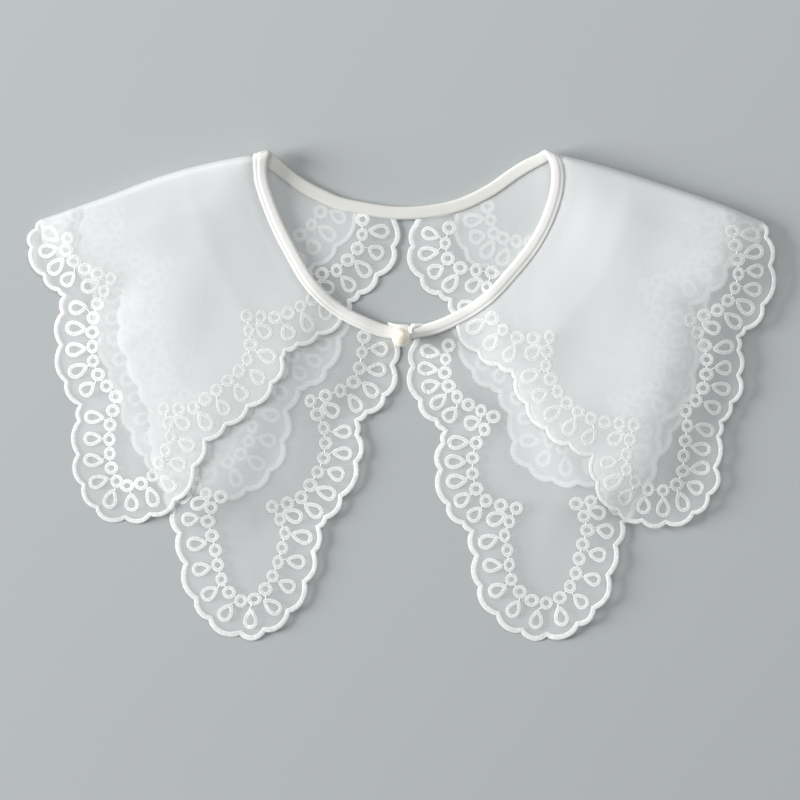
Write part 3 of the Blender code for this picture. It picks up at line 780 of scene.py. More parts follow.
def makeBiasCloth(look):
    # Bias tape of matt polyester satin: a fine diagonal weave and slight pull lines. Along the back
    # neck its colour is painted darker, a painted shade for the shade that stretch lies in.
    material, tree = newMaterial("bias_tape")
    place = addNode(tree, "ShaderNodeTexCoord")
    wave = addNode(
        tree, "ShaderNodeTexWave",
        {"wave_type": "BANDS", "bands_direction": "DIAGONAL", "wave_profile": "SIN"},
        {"Scale": 1.0 / (look["twill"] * mm) / 20 * math.pi, "Distortion": 2.0, "Detail": 2.0},
        {"Vector": place.outputs["Object"]},
    )
    pull = addNode(
        tree, "ShaderNodeTexNoise", None, {"Scale": 160.0, "Detail": 3.0},
        {"Vector": place.outputs["Object"]},
    )
    colour = addNode(
        tree, "ShaderNodeMix", {"data_type": "RGBA"},
        {6: linear(look["shade"]), 7: linear(look["colour"])}, {0: pull.outputs["Fac"]},
    )
    # painted shade: where this attribute is 1, along the back neck, the tape's colour is darkened
    backNeckShade = addNode(tree, "ShaderNodeAttribute", {"attribute_name": "backNeckShade"})
    turned = addNode(
        tree, "ShaderNodeMix", {"data_type": "RGBA"}, {7: linear(look["backNeckShade"])},
        {0: backNeckShade.outputs["Fac"], 6: colour.outputs[2]},
    )
    height = addNode(
        tree, "ShaderNodeMath", {"operation": "MULTIPLY_ADD"}, {1: 0.12},
        {0: wave.outputs["Fac"], 2: pull.outputs["Fac"]},
    )
    bump = addNode(
        tree, "ShaderNodeBump", None, {"Strength": 0.25, "Distance": 0.0004},
        {"Height": height.outputs[0]},
    )
    shader = addNode(
        tree, "ShaderNodeBsdfPrincipled", None,
        {"Roughness": look["roughness"], "IOR": 1.5, "Sheen Weight": 0.1},
        {"Base Color": turned.outputs[2], "Normal": bump.outputs[0]},
    )
    return finishMaterial(material, shader.outputs[0])


pearlLook = {"colour": "#F9F2E6", "shade": "#E9D9C0", "roughness": 0.3}


def makePearl(look):
    # Imitation pearl: nacre lacquer on a bead, creamy, with a clear hard coat over it
    material, tree = newMaterial("pearl")
    place = addNode(tree, "ShaderNodeTexCoord")
    cloud = addNode(
        tree, "ShaderNodeTexNoise", None, {"Scale": 220.0, "Detail": 2.0, "Distortion": 0.6},
        {"Vector": place.outputs["Object"]},
    )
    # painted sheen: the cream turns lighter towards the pearl's rim as seen from the camera; the clouds are the bead's
    # own uneven tone
    facing = addNode(tree, "ShaderNodeLayerWeight", None, {"Blend": 0.35})
    blend = addNode(
        tree, "ShaderNodeMath", {"operation": "MULTIPLY_ADD", "use_clamp": True}, {1: 0.6},
        {0: facing.outputs["Facing"], 2: cloud.outputs["Fac"]},
    )
    colour = addNode(
        tree, "ShaderNodeMix", {"data_type": "RGBA"},
        {6: linear(look["shade"]), 7: linear(look["colour"])}, {0: blend.outputs[0]},
    )
    shader = addNode(
        tree, "ShaderNodeBsdfPrincipled", None,
        {"Roughness": look["roughness"], "IOR": 1.45, "Coat Weight": 1.0,
         "Coat Roughness": 0.06, "Coat IOR": 1.9, "Subsurface Weight": 0.7,
         "Subsurface Radius": (1.0, 0.9, 0.75), "Subsurface Scale": 0.008},
        {"Base Color": colour.outputs[2]},
    )
    return finishMaterial(material, shader.outputs[0])


floorLook = {"colour": "#B7BBBC", "roughness": 0.85}


def makeFloorPaint(look):
    # Smooth matt backdrop paper
    material, tree = newMaterial("backdrop_paper")
    place = addNode(tree, "ShaderNodeTexCoord")
    grain = addNode(
        tree, "ShaderNodeTexNoise", None, {"Scale": 900.0, "Detail": 2.0},
        {"Vector": place.outputs["Object"]},
    )
    bump = addNode(
        tree, "ShaderNodeBump", None, {"Strength": 0.04, "Distance": 0.0002},
        {"Height": grain.outputs["Fac"]},
    )
    shader = addNode(
        tree, "ShaderNodeBsdfPrincipled", None,
        {"Base Color": linear(look["colour"]), "Roughness": look["roughness"],
         "Specular IOR Level": 0.2},
        {"Normal": bump.outputs[0]},
    )
    return finishMaterial(material, shader.outputs[0])


organza = makeOrganza(organzaLook)
stitchThread = makeStitchThread(threadLook)
biasCloth = makeBiasCloth(bindingLook)
pearlPaint = makePearl(pearlLook)
print("materials made")


# Geometry Nodes: one tree sews rings and drops on points, the other lays strands on lines

def newTree(name, sockets):
    tree = bpy.data.node_groups.new(name, "GeometryNodeTree")
    tree.interface.new_socket("Geometry", in_out="INPUT", socket_type="NodeSocketGeometry")
    for socketName, kind, value in sockets:
        socket = tree.interface.new_socket(socketName, in_out="INPUT", socket_type=kind)
        if value is not None:
            socket.default_value = value
    tree.interface.new_socket("Geometry", in_out="OUTPUT", socket_type="NodeSocketGeometry")
    start = addNode(tree, "NodeGroupInput")
    end = addNode(tree, "NodeGroupOutput")
    return tree, start.outputs, end


def endTree(tree, geometry, material, end, rounded):
    # What every tree ends in: real mesh, faces smooth or not, one material
    real = addNode(tree, "GeometryNodeRealizeInstances", links={0: geometry})
    smooth = addNode(
        tree, "GeometryNodeSetShadeSmooth",
        links={0: real.outputs[0], "Shade Smooth": rounded},
    )
    coloured = addNode(
        tree, "GeometryNodeSetMaterial", links={0: smooth.outputs[0], "Material": material}
    )
    tree.links.new(coloured.outputs[0], end.inputs[0])


def bandProfile(tree, width, height):
    # Six corners: two upright sides and a low ridge; "rim" is 1 at the sides, 0 on the ridge
    circle = addNode(tree, "GeometryNodeCurvePrimitiveCircle", None, {"Resolution": 6})
    circle.inputs["Radius"].default_value = 0.5 / math.cos(math.pi / 6)
    turned = addNode(
        tree, "GeometryNodeTransform", None, {"Rotation": (0.0, 0.0, math.pi / 6)},
        {0: circle.outputs[0]},
    )
    place = addNode(tree, "GeometryNodeInputPosition")
    xyz = addNode(tree, "ShaderNodeSeparateXYZ", links={0: place.outputs[0]})
    rim = addNode(
        tree, "ShaderNodeMath", {"operation": "ABSOLUTE"}, links={0: xyz.outputs["X"]}
    )
    marked = addNode(
        tree, "GeometryNodeStoreNamedAttribute", {"data_type": "FLOAT", "domain": "POINT"},
        {"Name": "rim"}, {"Geometry": turned.outputs[0], "Value": rim.outputs[0]},
    )
    scale = addNode(tree, "ShaderNodeCombineXYZ", links={0: width, 1: height})
    return addNode(
        tree, "GeometryNodeTransform",
        links={0: marked.outputs[0], "Scale": scale.outputs[0]},
    ).outputs[0]


def buildMotifTree():
    tree, given, end = newTree("sewn_motifs", [
        ("ring diameter", "NodeSocketFloat", 6.0), ("ring band", "NodeSocketFloat", 1.8),
        ("ring steps", "NodeSocketInt", 14),
        ("drop length", "NodeSocketFloat", 9.2), ("drop width", "NodeSocketFloat", 7.0),
        ("drop band", "NodeSocketFloat", 1.7), ("drop steps", "NodeSocketInt", 18),
        ("height", "NodeSocketFloat", 0.5), ("uneven", "NodeSocketFloat", 0.07),
        ("sway", "NodeSocketFloat", 0.2), ("spikes", "NodeSocketFloat", 0.09),
        ("seed", "NodeSocketInt", 4), ("rounded", "NodeSocketBool", False),
        ("material", "NodeSocketMaterial", None),
    ])

    def worked(operation, *values):
        node = addNode(tree, "ShaderNodeMath", {"operation": operation})
        for k, value in enumerate(values):
            if isinstance(value, (int, float)):
                node.inputs[k].default_value = value
            else:
                tree.links.new(value, node.inputs[k])
        return node.outputs[0]

    def sewn(line, band):
        # A closed line thickened into a band of stitches, its edge a little spiky
        body = addNode(
            tree, "GeometryNodeCurveToMesh",
            links={"Curve": line, "Profile Curve": bandProfile(tree, band, given["height"])},
        )
        place = addNode(tree, "GeometryNodeInputPosition")
        marked = addNode(
            tree, "GeometryNodeStoreNamedAttribute",
            {"data_type": "FLOAT_VECTOR", "domain": "POINT"}, {"Name": "stitchPlace"},
            {"Geometry": body.outputs[0], "Value": place.outputs[0]},
        )
        push = addNode(
            tree, "FunctionNodeRandomValue", {"data_type": "FLOAT"}, None,
            {2: worked("MULTIPLY", given["spikes"], -1.0), 3: given["spikes"]},
        )
        way = addNode(tree, "GeometryNodeInputNormal")
        offset = addNode(
            tree, "ShaderNodeVectorMath", {"operation": "SCALE"}, None,
            {0: way.outputs[0], "Scale": push.outputs[1]},
        )
        level = addNode(
            tree, "ShaderNodeVectorMath", {"operation": "MULTIPLY"}, {1: (1.0, 1.0, 0.2)},
            {0: offset.outputs[0]},
        )
        return addNode(
            tree, "GeometryNodeSetPosition",
            links={0: marked.outputs[0], "Offset": level.outputs[0]},
        ).outputs[0]

    ringRadius = worked("MULTIPLY_ADD", given["ring band"], -0.5,
                        worked("MULTIPLY", given["ring diameter"], 0.5))
    ringLine = addNode(
        tree, "GeometryNodeCurvePrimitiveCircle",
        links={"Resolution": given["ring steps"], "Radius": ringRadius},
    )
    ring = sewn(ringLine.outputs[0], given["ring band"])

    # The drop is a circle whose sides draw in towards one end
    dropLine = addNode(
        tree, "GeometryNodeCurvePrimitiveCircle", None, {"Radius": 1.0},
        {"Resolution": given["drop steps"]},
    )
    place = addNode(tree, "GeometryNodeInputPosition")
    xyz = addNode(tree, "ShaderNodeSeparateXYZ", links={0: place.outputs[0]})
    narrowing = worked("POWER", worked("MULTIPLY_ADD", xyz.outputs["X"], -0.45, 0.55), 0.5)
    halfLong = worked("MULTIPLY_ADD", given["drop band"], -0.5,
                      worked("MULTIPLY", given["drop length"], 0.5))
    halfWide = worked("MULTIPLY_ADD", given["drop band"], -0.63,
                      worked("MULTIPLY", given["drop width"], 0.63))
    newPlace = addNode(
        tree, "ShaderNodeCombineXYZ",
        links={
            0: worked("MULTIPLY", xyz.outputs["X"], halfLong),
            1: worked("MULTIPLY", worked("MULTIPLY", xyz.outputs["Y"], narrowing), halfWide),
        },
    )
    shaped = addNode(
        tree, "GeometryNodeSetPosition",
        links={0: dropLine.outputs[0], "Position": newPlace.outputs[0]},
    )
    drop = sewn(shaped.outputs[0], given["drop band"])

    kind = addNode(
        tree, "GeometryNodeInputNamedAttribute", {"data_type": "INT"}, {"Name": "kind"}
    )
    turn = addNode(
        tree, "GeometryNodeInputNamedAttribute", {"data_type": "FLOAT"}, {"Name": "turn"}
    )
    sway = addNode(
        tree, "FunctionNodeRandomValue", {"data_type": "FLOAT"}, None,
        {2: worked("MULTIPLY", given["sway"], -1.0), 3: given["sway"], "Seed": given["seed"]},
    )
    rotation = addNode(
        tree, "ShaderNodeCombineXYZ",
        links={2: worked("ADD", turn.outputs[0], sway.outputs[1])},
    )
    # Lengths vary twice as much as widths
    least = addNode(tree, "ShaderNodeCombineXYZ", None, {2: 1.0}, {
        0: worked("MULTIPLY_ADD", given["uneven"], -2.0, 1.0),
        1: worked("SUBTRACT", 1.0, given["uneven"]),
    })
    most = addNode(tree, "ShaderNodeCombineXYZ", None, {2: 1.0}, {
        0: worked("MULTIPLY_ADD", given["uneven"], 2.0, 1.0),
        1: worked("ADD", 1.0, given["uneven"]),
    })
    size = addNode(
        tree, "FunctionNodeRandomValue", {"data_type": "FLOAT_VECTOR"}, None,
        {0: least.outputs[0], 1: most.outputs[0], "Seed": given["seed"]},
    )
    joined = addNode(tree, "GeometryNodeJoinGeometry")
    for value, motif in ((0, ring), (1, drop)):
        chosen = addNode(
            tree, "FunctionNodeCompare", {"data_type": "INT", "operation": "EQUAL"},
            {3: value}, {2: kind.outputs[0]},
        )
        placed = addNode(
            tree, "GeometryNodeInstanceOnPoints",
            links={
                "Points": given["Geometry"], "Selection": chosen.outputs[0], "Instance": motif,
                "Rotation": rotation.outputs[0], "Scale": size.outputs[0],
            },
        )
        tree.links.new(placed.outputs[0], joined.inputs[0])
    endTree(tree, joined.outputs[0], given["material"], end, given["rounded"])
    return tree


def buildStrandTree():
    tree, given, end = newTree("laid_strands", [
        ("width", "NodeSocketFloat", 0.6), ("height", "NodeSocketFloat", 0.5),
        ("sides", "NodeSocketInt", 4), ("uneven", "NodeSocketFloat", 0.0),
        ("rounded", "NodeSocketBool", True), ("material", "NodeSocketMaterial", None),
    ])
    laid = addNode(tree, "GeometryNodeMeshToCurve", links={0: given["Geometry"]})
    least = addNode(
        tree, "ShaderNodeMath", {"operation": "SUBTRACT"}, {0: 1.0}, {1: given["uneven"]}
    )
    most = addNode(
        tree, "ShaderNodeMath", {"operation": "ADD"}, {0: 1.0}, {1: given["uneven"]}
    )
    pull = addNode(
        tree, "FunctionNodeRandomValue", {"data_type": "FLOAT"}, None,
        {2: least.outputs[0], 3: most.outputs[0]},
    )
    line = addNode(
        tree, "GeometryNodeSetCurveRadius",
        links={0: laid.outputs[0], "Radius": pull.outputs[1]},
    )
    run = addNode(tree, "GeometryNodeSplineParameter")
    marked = addNode(
        tree, "GeometryNodeStoreNamedAttribute",
        {"data_type": "FLOAT", "domain": "POINT"}, {"Name": "run"},
        {"Geometry": line.outputs[0], "Value": run.outputs["Length"]},
    )
    circle = addNode(
        tree, "GeometryNodeCurvePrimitiveCircle", None, {"Radius": 0.52},
        {"Resolution": given["sides"]},
    )
    scale = addNode(
        tree, "ShaderNodeCombineXYZ", links={0: given["width"], 1: given["height"]}
    )
    profile = addNode(
        tree, "GeometryNodeTransform", links={0: circle.outputs[0], "Scale": scale.outputs[0]}
    )
    body = addNode(
        tree, "GeometryNodeCurveToMesh", None, {"Fill Caps": True},
        {"Curve": marked.outputs[0], "Profile Curve": profile.outputs[0]},
    )
    runAgain = addNode(
        tree, "GeometryNodeInputNamedAttribute", {"data_type": "FLOAT"}, {"Name": "run"}
    )
    scaled = addNode(
        tree, "ShaderNodeMath", {"operation": "MULTIPLY"}, {1: 10.0},
        {0: runAgain.outputs[0]},
    )
    vector = addNode(tree, "ShaderNodeCombineXYZ", None, {0: 1.0}, {2: scaled.outputs[0]})
    stored = addNode(
        tree, "GeometryNodeStoreNamedAttribute",
        {"data_type": "FLOAT_VECTOR", "domain": "POINT"}, {"Name": "stitchPlace"},
        {"Geometry": body.outputs[0], "Value": vector.outputs[0]},
    )
    rimmed = addNode(
        tree, "GeometryNodeStoreNamedAttribute", {"data_type": "FLOAT", "domain": "POINT"},
        {"Name": "rim", "Value": 0.3}, {"Geometry": stored.outputs[0]},
    )
    endTree(tree, rimmed.outputs[0], given["material"], end, given["rounded"])
    return tree


motifTree = buildMotifTree()
strandTree = buildStrandTree()


def grown(name, points, edges, tree, values, attributes=None):
    # A plain mesh in mm from a tree run on points and edges
    mesh = bpy.data.meshes.new(name)
    mesh.from_pydata([tuple(map(float, p)) for p in points], edges, [])
    for attributeName, (kind, column) in (attributes or {}).items():
        attribute = mesh.attributes.new(attributeName, kind, "POINT")
        attribute.data.foreach_set("value", column)
    source = bpy.data.objects.new(name + "_plan", mesh)
    bpy.context.scene.collection.objects.link(source)
    modifier = source.modifiers.new("grow", "NODES")
    modifier.node_group = tree
    sockets = {
        item.name: item.identifier for item in tree.interface.items_tree
        if getattr(item, "in_out", "") == "INPUT"
    }
    for key, value in values.items():
        modifier[sockets[key]] = value
    graph = bpy.context.evaluated_depsgraph_get()
    graph.update()
    made = bpy.data.meshes.new_from_object(source.evaluated_get(graph))
    bpy.data.objects.remove(source, do_unlink=True)
    bpy.data.meshes.remove(mesh)
    made.name = name
    return made


def meshPoints(mesh):
    points = np.empty(len(mesh.vertices) * 3, np.float32)
    mesh.vertices.foreach_get("co", points)
    return points.reshape(-1, 3).astype(float)


def setPoints(mesh, points):
    mesh.vertices.foreach_set("co", (points * mm).astype(np.float32).ravel())
    mesh.update()


def addPiece(name, mesh, slot, *replaced):
    piece = bpy.data.objects.new(name, mesh)
    bpy.context.scene.collection.objects.link(piece)
    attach(piece, "root")
    if replaced:
        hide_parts(*replaced)
    return piece


def joinMeshes(name, meshes):
    # One mesh from several, materials kept
    target = bmesh.new()
    for mesh in meshes:
        target.from_mesh(mesh)
    joined = bpy.data.meshes.new(name)
    for layer in meshes[0].materials:
        joined.materials.append(layer)
    target.to_mesh(joined)
    target.free()
    for mesh in meshes:
        bpy.data.meshes.remove(mesh)
    return joined


def drape(mesh, panel, lift=0.0):
    # Lays a flat pattern, whose z is its height off the cloth, over a panel
    points = meshPoints(mesh)
    onCloth, outward = onPanel(panel, points[:, :2])
    setPoints(mesh, onCloth + outward * (points[:, 2:] + lift))
    if panel["part"] == "back":
        mesh.flip_normals()


# Where the rings, drops and joining threads go

motifSizes = {
    "ring": 6.3, "ringBand": 1.75, "ringPitch": 7.0, "chainIn": 15.5, "cornerIn": 24.5,
    "closeCornerIn": 18.3, "dropLong": 9.3, "dropWide": 7.0, "dropBand": 1.7,
    "dropIn": 7.6, "dropEvery": 10.5, "junctionDropIn": 14.2, "height": 0.24,
    "thread": 0.7, "threadHigh": 0.3, "edging": {"upper": 2.0, "under": 2.4}, "edgingHigh": 0.28, "edgingUneven": 0.15,
}


def innerLine(lobe, hemAll, side, depth):
    # The part of an offset of the lobe that keeps its distance from the whole hem
    line = lobe - sides[side] * depth * leftNormals(lobe)
    keep = edgeDistance(line, hemAll) > depth - 0.4
    return line[keep]


def embroideryPlan(panel):
    side = panel["side"]
    lobes = panel["lobes"]
    hemAll = np.vstack([line for line, _ in lobes])
    hemAll = resample(hemAll, step=1.0)
    corners = []
    foldAway = panel["fold"]
    for k in range(len(lobes) - 1):
        before, after = lobes[k][0], lobes[k + 1][0]
        notch = before[-1]
        ways = [
            (before[-40] - notch) / np.linalg.norm(before[-40] - notch),
            (after[40] - notch) / np.linalg.norm(after[40] - notch),
        ]
        heading = -(ways[0] + ways[1])
        inwardSide = -sides[side] * (leftNormals(before)[-1] + leftNormals(after)[0])
        heading = inwardSide / np.linalg.norm(inwardSide)
        close = panel["part"] == "front" and k == 2 and panel["tier"] == "upper"
        deep = motifSizes["closeCornerIn" if close else "cornerIn"]
        corners.append({"at": notch + heading * deep, "notch": notch, "heading": heading,
                        "close": close})
    rings, drops, threads = [], [], []
    for k, (line, scallops) in enumerate(lobes):
        chain = innerLine(line, hemAll, side, motifSizes["chainIn"])
        trim = 24
        first = [corners[k - 1]["at"]] if k else []
        last = [corners[k]["at"]] if k < len(corners) else []
        chain = chain[trim if k else 0 : len(chain) - (trim if last else 0)]
        path = np.vstack(first + [chain[::12]] + last)
        path = smoothCurve(path)
        count = max(2, round(arcLength(path)[-1] / motifSizes["ringPitch"]))
        places = resample(path, count=count)
        if not first:
            pass
        rings.append(places if k == 0 else places[1:])
        middle = innerLine(line, hemAll, side, motifSizes["dropIn"])
        run = arcLength(middle)
        number = max(2, min(scallops, round(arcLength(line)[-1] / motifSizes["dropEvery"])))
        for share in (np.arange(number) + 0.5) / number:
            at = np.array([np.interp(share * run[-1], run, middle[:, c]) for c in (0, 1)])
            foot = line[nearest(line, at)]
            heading = (at - foot) / np.linalg.norm(at - foot)
            drops.append((at, heading))
    for corner in corners:
        if not corner["close"]:
            at = corner["notch"] + corner["heading"] * motifSizes["junctionDropIn"]
            drops.append((at, corner["heading"]))
    ringPlaces = np.vstack(rings)
    neck, outline = panel["neck"], panel["outline"]

    def sewable(places, clear):
        fold = edgeDistance(places, extended(panel["fold"]))
        return (
            inside(places, outline) & (edgeDistance(places, neck) > clear) & (fold > 0.4)
        )

    keepRings = sewable(ringPlaces, 0.2)
    dropPlaces = np.array([at for at, _ in drops])
    dropHeadings = np.array([heading for _, heading in drops])
    keepDrops = sewable(dropPlaces, 2.0)
    radius = motifSizes["ring"] / 2
    for a, b in zip(range(len(ringPlaces) - 1), range(1, len(ringPlaces))):
        if keepRings[a] and keepRings[b]:
            way = ringPlaces[b] - ringPlaces[a]
            gap = np.linalg.norm(way)
            if radius * 2 < gap < 12:
                way /= gap
                threads.append((ringPlaces[a] + way * (radius - 0.3),
                                ringPlaces[b] - way * (radius - 0.3)))
    kept = ringPlaces[keepRings]
    for at, heading, keep in zip(dropPlaces, dropHeadings, keepDrops):
        if keep and len(kept):
            tip = at + heading * (motifSizes["dropLong"] / 2 - 0.3)
            k = nearest(kept, tip)
            way = kept[k] - tip
            gap = np.linalg.norm(way)
            if gap < 8:
                threads.append((tip, kept[k] - way / gap * (radius - 0.3)))
    return kept, dropPlaces[keepDrops], dropHeadings[keepDrops], threads


def makeEmbroidery(tier, side):
    meshes = {"motifs": [], "threads": [], "edging": []}
    for part in ("front", "back"):
        panel = panels[f"{tier}_{side}_{part}"]
        rings, drops, headings, threads = embroideryPlan(panel)
        points = np.vstack([rings, drops])
        flat = np.column_stack([points, np.zeros(len(points))])
        turns = np.concatenate([
            np.zeros(len(rings)), np.arctan2(headings[:, 1], headings[:, 0]),
        ])
        kinds = np.array([0] * len(rings) + [1] * len(drops), np.int32)
        mesh = grown(
            f"motifs_{tier}_{side}_{part}", flat, [], motifTree,
            {
                "ring diameter": motifSizes["ring"], "ring band": motifSizes["ringBand"],
                "drop length": motifSizes["dropLong"], "drop width": motifSizes["dropWide"],
                "drop band": motifSizes["dropBand"], "height": motifSizes["height"],
                "material": stitchThread,
            },
            {"turn": ("FLOAT", turns.astype(np.float32)), "kind": ("INT", kinds)},
        )
        drape(mesh, panel)
        meshes["motifs"].append(mesh)

        ends = np.array([end for pair in threads for end in pair])
        flat = np.column_stack([ends, np.zeros(len(ends))])
        edges = [(k, k + 1) for k in range(0, len(ends), 2)]
        mesh = grown(
            f"threads_{tier}_{side}_{part}", flat, edges, strandTree,
            {"width": motifSizes["thread"], "height": motifSizes["threadHigh"],
             "sides": 4, "material": stitchThread},
        )
        drape(mesh, panel)
        meshes["threads"].append(mesh)

        line = panel["hem"] - sides[side] * leftNormals(panel["hem"]) * motifSizes["edging"][tier] / 2
        flat = np.column_stack([line, np.zeros(len(line))])
        mesh = grown(
            f"edging_{tier}_{side}_{part}", flat,
            [(k, k + 1) for k in range(len(line) - 1)], strandTree,
            {"width": motifSizes["edging"][tier], "height": motifSizes["edgingHigh"],
             "sides": 6, "uneven": motifSizes["edgingUneven"], "rounded": False,
             "material": stitchThread},
        )
        drape(mesh, panel)
        meshes["edging"].append(mesh)
    names = {"motifs": "rings_and_drops", "threads": "joining_threads", "edging": "satin_edging"}
    return [
        addPiece(f"{names[key]}_{tier}_{side}", joinMeshes(f"{names[key]}_{tier}_{side}", both),
                 "white_thread")
        for key, both in meshes.items()
    ]


def makeLayer(tier, side):
    points, faces, stacked = [], [], []
    for part in ("front", "back"):
        panelPoints, triangles, count = panelMesh(panels[f"{tier}_{side}_{part}"])
        faces.append(triangles + sum(len(p) for p in points))
        points.append(panelPoints)
        stacked.append(count)
    points, faces, stacked = (np.concatenate(each) for each in (points, faces, stacked))
    shape = bmesh.new()
    depth = shape.verts.layers.float.new("stacked")
    corners = []
    for p, count in zip(points, stacked):
        corners.append(shape.verts.new(Vector(p) * mm))
        corners[-1][depth] = count
    for face in faces:
        shape.faces.new([corners[k] for k in face])
    bmesh.ops.remove_doubles(shape, verts=shape.verts, dist=0.02 * mm)
    for face in shape.faces:
        face.smooth = True
    mesh = bpy.data.meshes.new(f"organza_{tier}_{side}")
    shape.to_mesh(mesh)
    shape.free()
    mesh.materials.append(organza)
    return addPiece(mesh.name, mesh, "white_organza", f"{tier}_layer_{side}")


floorMesh = bpy.data.meshes.new("floor")
floorMesh.from_pydata([(-3, -3, 0), (3, -3, 0), (3, 3, 0), (-3, 3, 0)], [], [(0, 1, 2, 3)])
floorMesh.materials.append(makeFloorPaint(floorLook))
floor = bpy.data.objects.new("floor", floorMesh)
bpy.context.scene.collection.objects.link(floor)

for side in sides:
    for tier in ("under", "upper"):
        layer = makeLayer(tier, side)
        trim = makeEmbroidery(tier, side)
        print("layer", tier, side, "laid with", sum(len(o.data.polygons) for o in trim), "faces")


# Neck binding

def bindingHeight(points, side):
    layers = sum(
        clothSizes["pitch"] * supports[f"{tier}_{side}_back"](points) for tier in foldNest
    )
    doubled = (bindingSizes["wall"] + clothSizes["pitch"] - clothSizes["wall"]) * backSupport(
        points
    )
    return bindingSizes["wall"] / 2 + np.maximum(layers, doubled)


def bindingSections(stretch, side, angles):
    fold = np.array(bindingFolds[side], float)
    neck, outer = bindingLines[stretch]
    if side == "right" and stretch == "back":
        neck, outer = neck[::-1], outer[::-1]

    def heightsFor(points):
        front = bindingHeight(points, side) + loft(points, fold)
        front += clothCrown(points, "upper", side)
        return front, bindingSizes["wall"] / 2 + backLift(points, fold)

    pairs = [bindingFoldRow(stretch, side, angle)[::-1] for angle in angles]
    pairs += [np.array(pair) for pair in zip(neck, outer)]
    shares = np.linspace(0.0, 1.0, bindingSizes["across"])[:, None]
    away = pairs[0] - pairs[len(angles) - 1]
    away /= np.linalg.norm(away, axis=1)[:, None]
    sections = []
    for k, (neckEnd, outerEnd) in enumerate(pairs):
        places = neckEnd + (outerEnd - neckEnd) * shares
        bulge = bindingSizes["foldBulge"] * max(0.0, 1.0 - k / (len(angles) + 2))
        places = places + bulge * np.sin(math.pi * shares) * away.mean(axis=0)
        part = "back" if stretch == "back" else "front"
        sections.append(bent(places, fold, -sides[side], heightsFor, part))
    return sections


bindingFlaps = [  # the tape's ends, turned under beside the pearl: x, y, z, half width, half height
    [(-6.2, 34.3, 1.4, 0.15, 0.2), (-5.4, 33.4, 1.4, 0.7, 0.6), (-2.5, 32.8, 1.4, 0.8, 0.85),
     (1.0, 32.3, 1.4, 1.0, 0.9), (3.4, 32.1, 1.3, 1.0, 0.8), (3.9, 32.0, 1.3, 0.5, 0.5)],
    [(4.5, 32.2, 1.9, 0.5, 0.5), (5.0, 32.2, 2.0, 1.2, 1.0), (6.5, 32.4, 2.0, 1.3, 1.0),
     (9.5, 32.7, 1.8, 1.0, 0.75), (12.5, 33.1, 1.6, 0.4, 0.4)],
    [(5.2, 26.3, 1.6, 0.4, 0.4), (5.1, 27.0, 1.7, 0.8, 0.8), (5.0, 29.5, 1.7, 0.8, 0.85),
     (5.1, 32.0, 1.8, 0.8, 0.8), (5.2, 32.6, 1.8, 0.5, 0.5)],
]


def addFlap(shape, rows):
    rows = np.array(rows)
    run = np.concatenate([[0.0], np.cumsum(np.linalg.norm(np.diff(rows[:, :3], axis=0), axis=1))])
    fine = np.linspace(0.0, run[-1], 22)
    rows = np.column_stack([np.interp(fine, run, rows[:, k]) for k in range(5)])
    normals = leftNormals(rows[:, :2])
    rings = []
    for (x, y, z, wide, high), normal in zip(rows, normals):
        ring = []
        for angle in np.linspace(0.0, 2 * math.pi, 12, endpoint=False):
            out = wide * math.cos(angle)
            place = (x + normal[0] * out, y + normal[1] * out, z + high * math.sin(angle))
            ring.append(shape.verts.new(Vector(place) * mm))
        rings.append(ring)
    faces = []
    for a, b in zip(rings, rings[1:]):
        for k in range(12):
            faces.append(shape.faces.new([a[k], a[(k + 1) % 12], b[(k + 1) % 12], b[k]]))
    faces.append(shape.faces.new(rings[0][::-1]))
    faces.append(shape.faces.new(rings[-1]))
    bmesh.ops.recalc_face_normals(shape, faces=faces)
    for face in faces:
        face.smooth = True


def makeBinding(name):
    halfBack = (len(bindingLines["back"][0]) + 1) // 2
    folds = bindingSizes["foldAngles"]
    sections = bindingSections("left", "left", folds)[::-1]
    backFrom = len(sections)
    sections += bindingSections("back", "left", folds[1:])[: halfBack + len(folds) - 1]
    sections += bindingSections("back", "right", folds[1:])[: halfBack + len(folds) - 1][::-1]
    backTo = len(sections)
    sections += bindingSections("right", "right", folds)
    across = bindingSizes["across"]
    v = np.linspace(-1.0, 1.0, across)
    crown = bindingSizes["wall"] / 2 * (1 - np.abs(v) ** 6) ** bindingSizes["edgeRound"]
    strip = bindingSizes["strip"] * (v > bindingSizes["grooveAt"] + 0.05) * crown
    groove = bindingSizes["grooveDeep"] * np.exp(
        -(((v - bindingSizes["grooveAt"]) / bindingSizes["grooveWide"]) ** 2)
    )
    shape = bmesh.new()
    backNeckShade = shape.verts.layers.float.new("backNeckShade")
    rings = []
    for k, (places, outward) in enumerate(sections):
        top = places + outward * (crown - groove - strip)[:, None]
        under = places - outward * crown[:, None]
        loop = np.vstack([top, under[::-1][1:-1]])
        rings.append([shape.verts.new(Vector(p) * mm) for p in loop])
        # painted shade: 1 along the back stretch, fading over six sections at its ends, where the tape is painted
        # darker
        turned = min(1.0, max(0.0, min(k - backFrom + 3, backTo + 2 - k) / 6.0))
        for corner in rings[-1]:
            corner[backNeckShade] = turned
    count = len(rings[0])
    for a, b in zip(rings, rings[1:]):
        for k in range(count):
            shape.faces.new([a[k], a[(k + 1) % count], b[(k + 1) % count], b[k]])
    shape.faces.new(rings[0])
    shape.faces.new(rings[-1][::-1])
    bmesh.ops.remove_doubles(shape, verts=shape.verts, dist=0.01 * mm)
    bmesh.ops.recalc_face_normals(shape, faces=shape.faces)
    for face in shape.faces:
        face.smooth = True
    for flap in bindingFlaps:
        addFlap(shape, flap)
    mesh = bpy.data.meshes.new(name)
    shape.to_mesh(mesh)
    shape.free()
    mesh.materials.append(biasCloth)
    return addPiece(name, mesh, "white_bias_binding", "neck_binding")


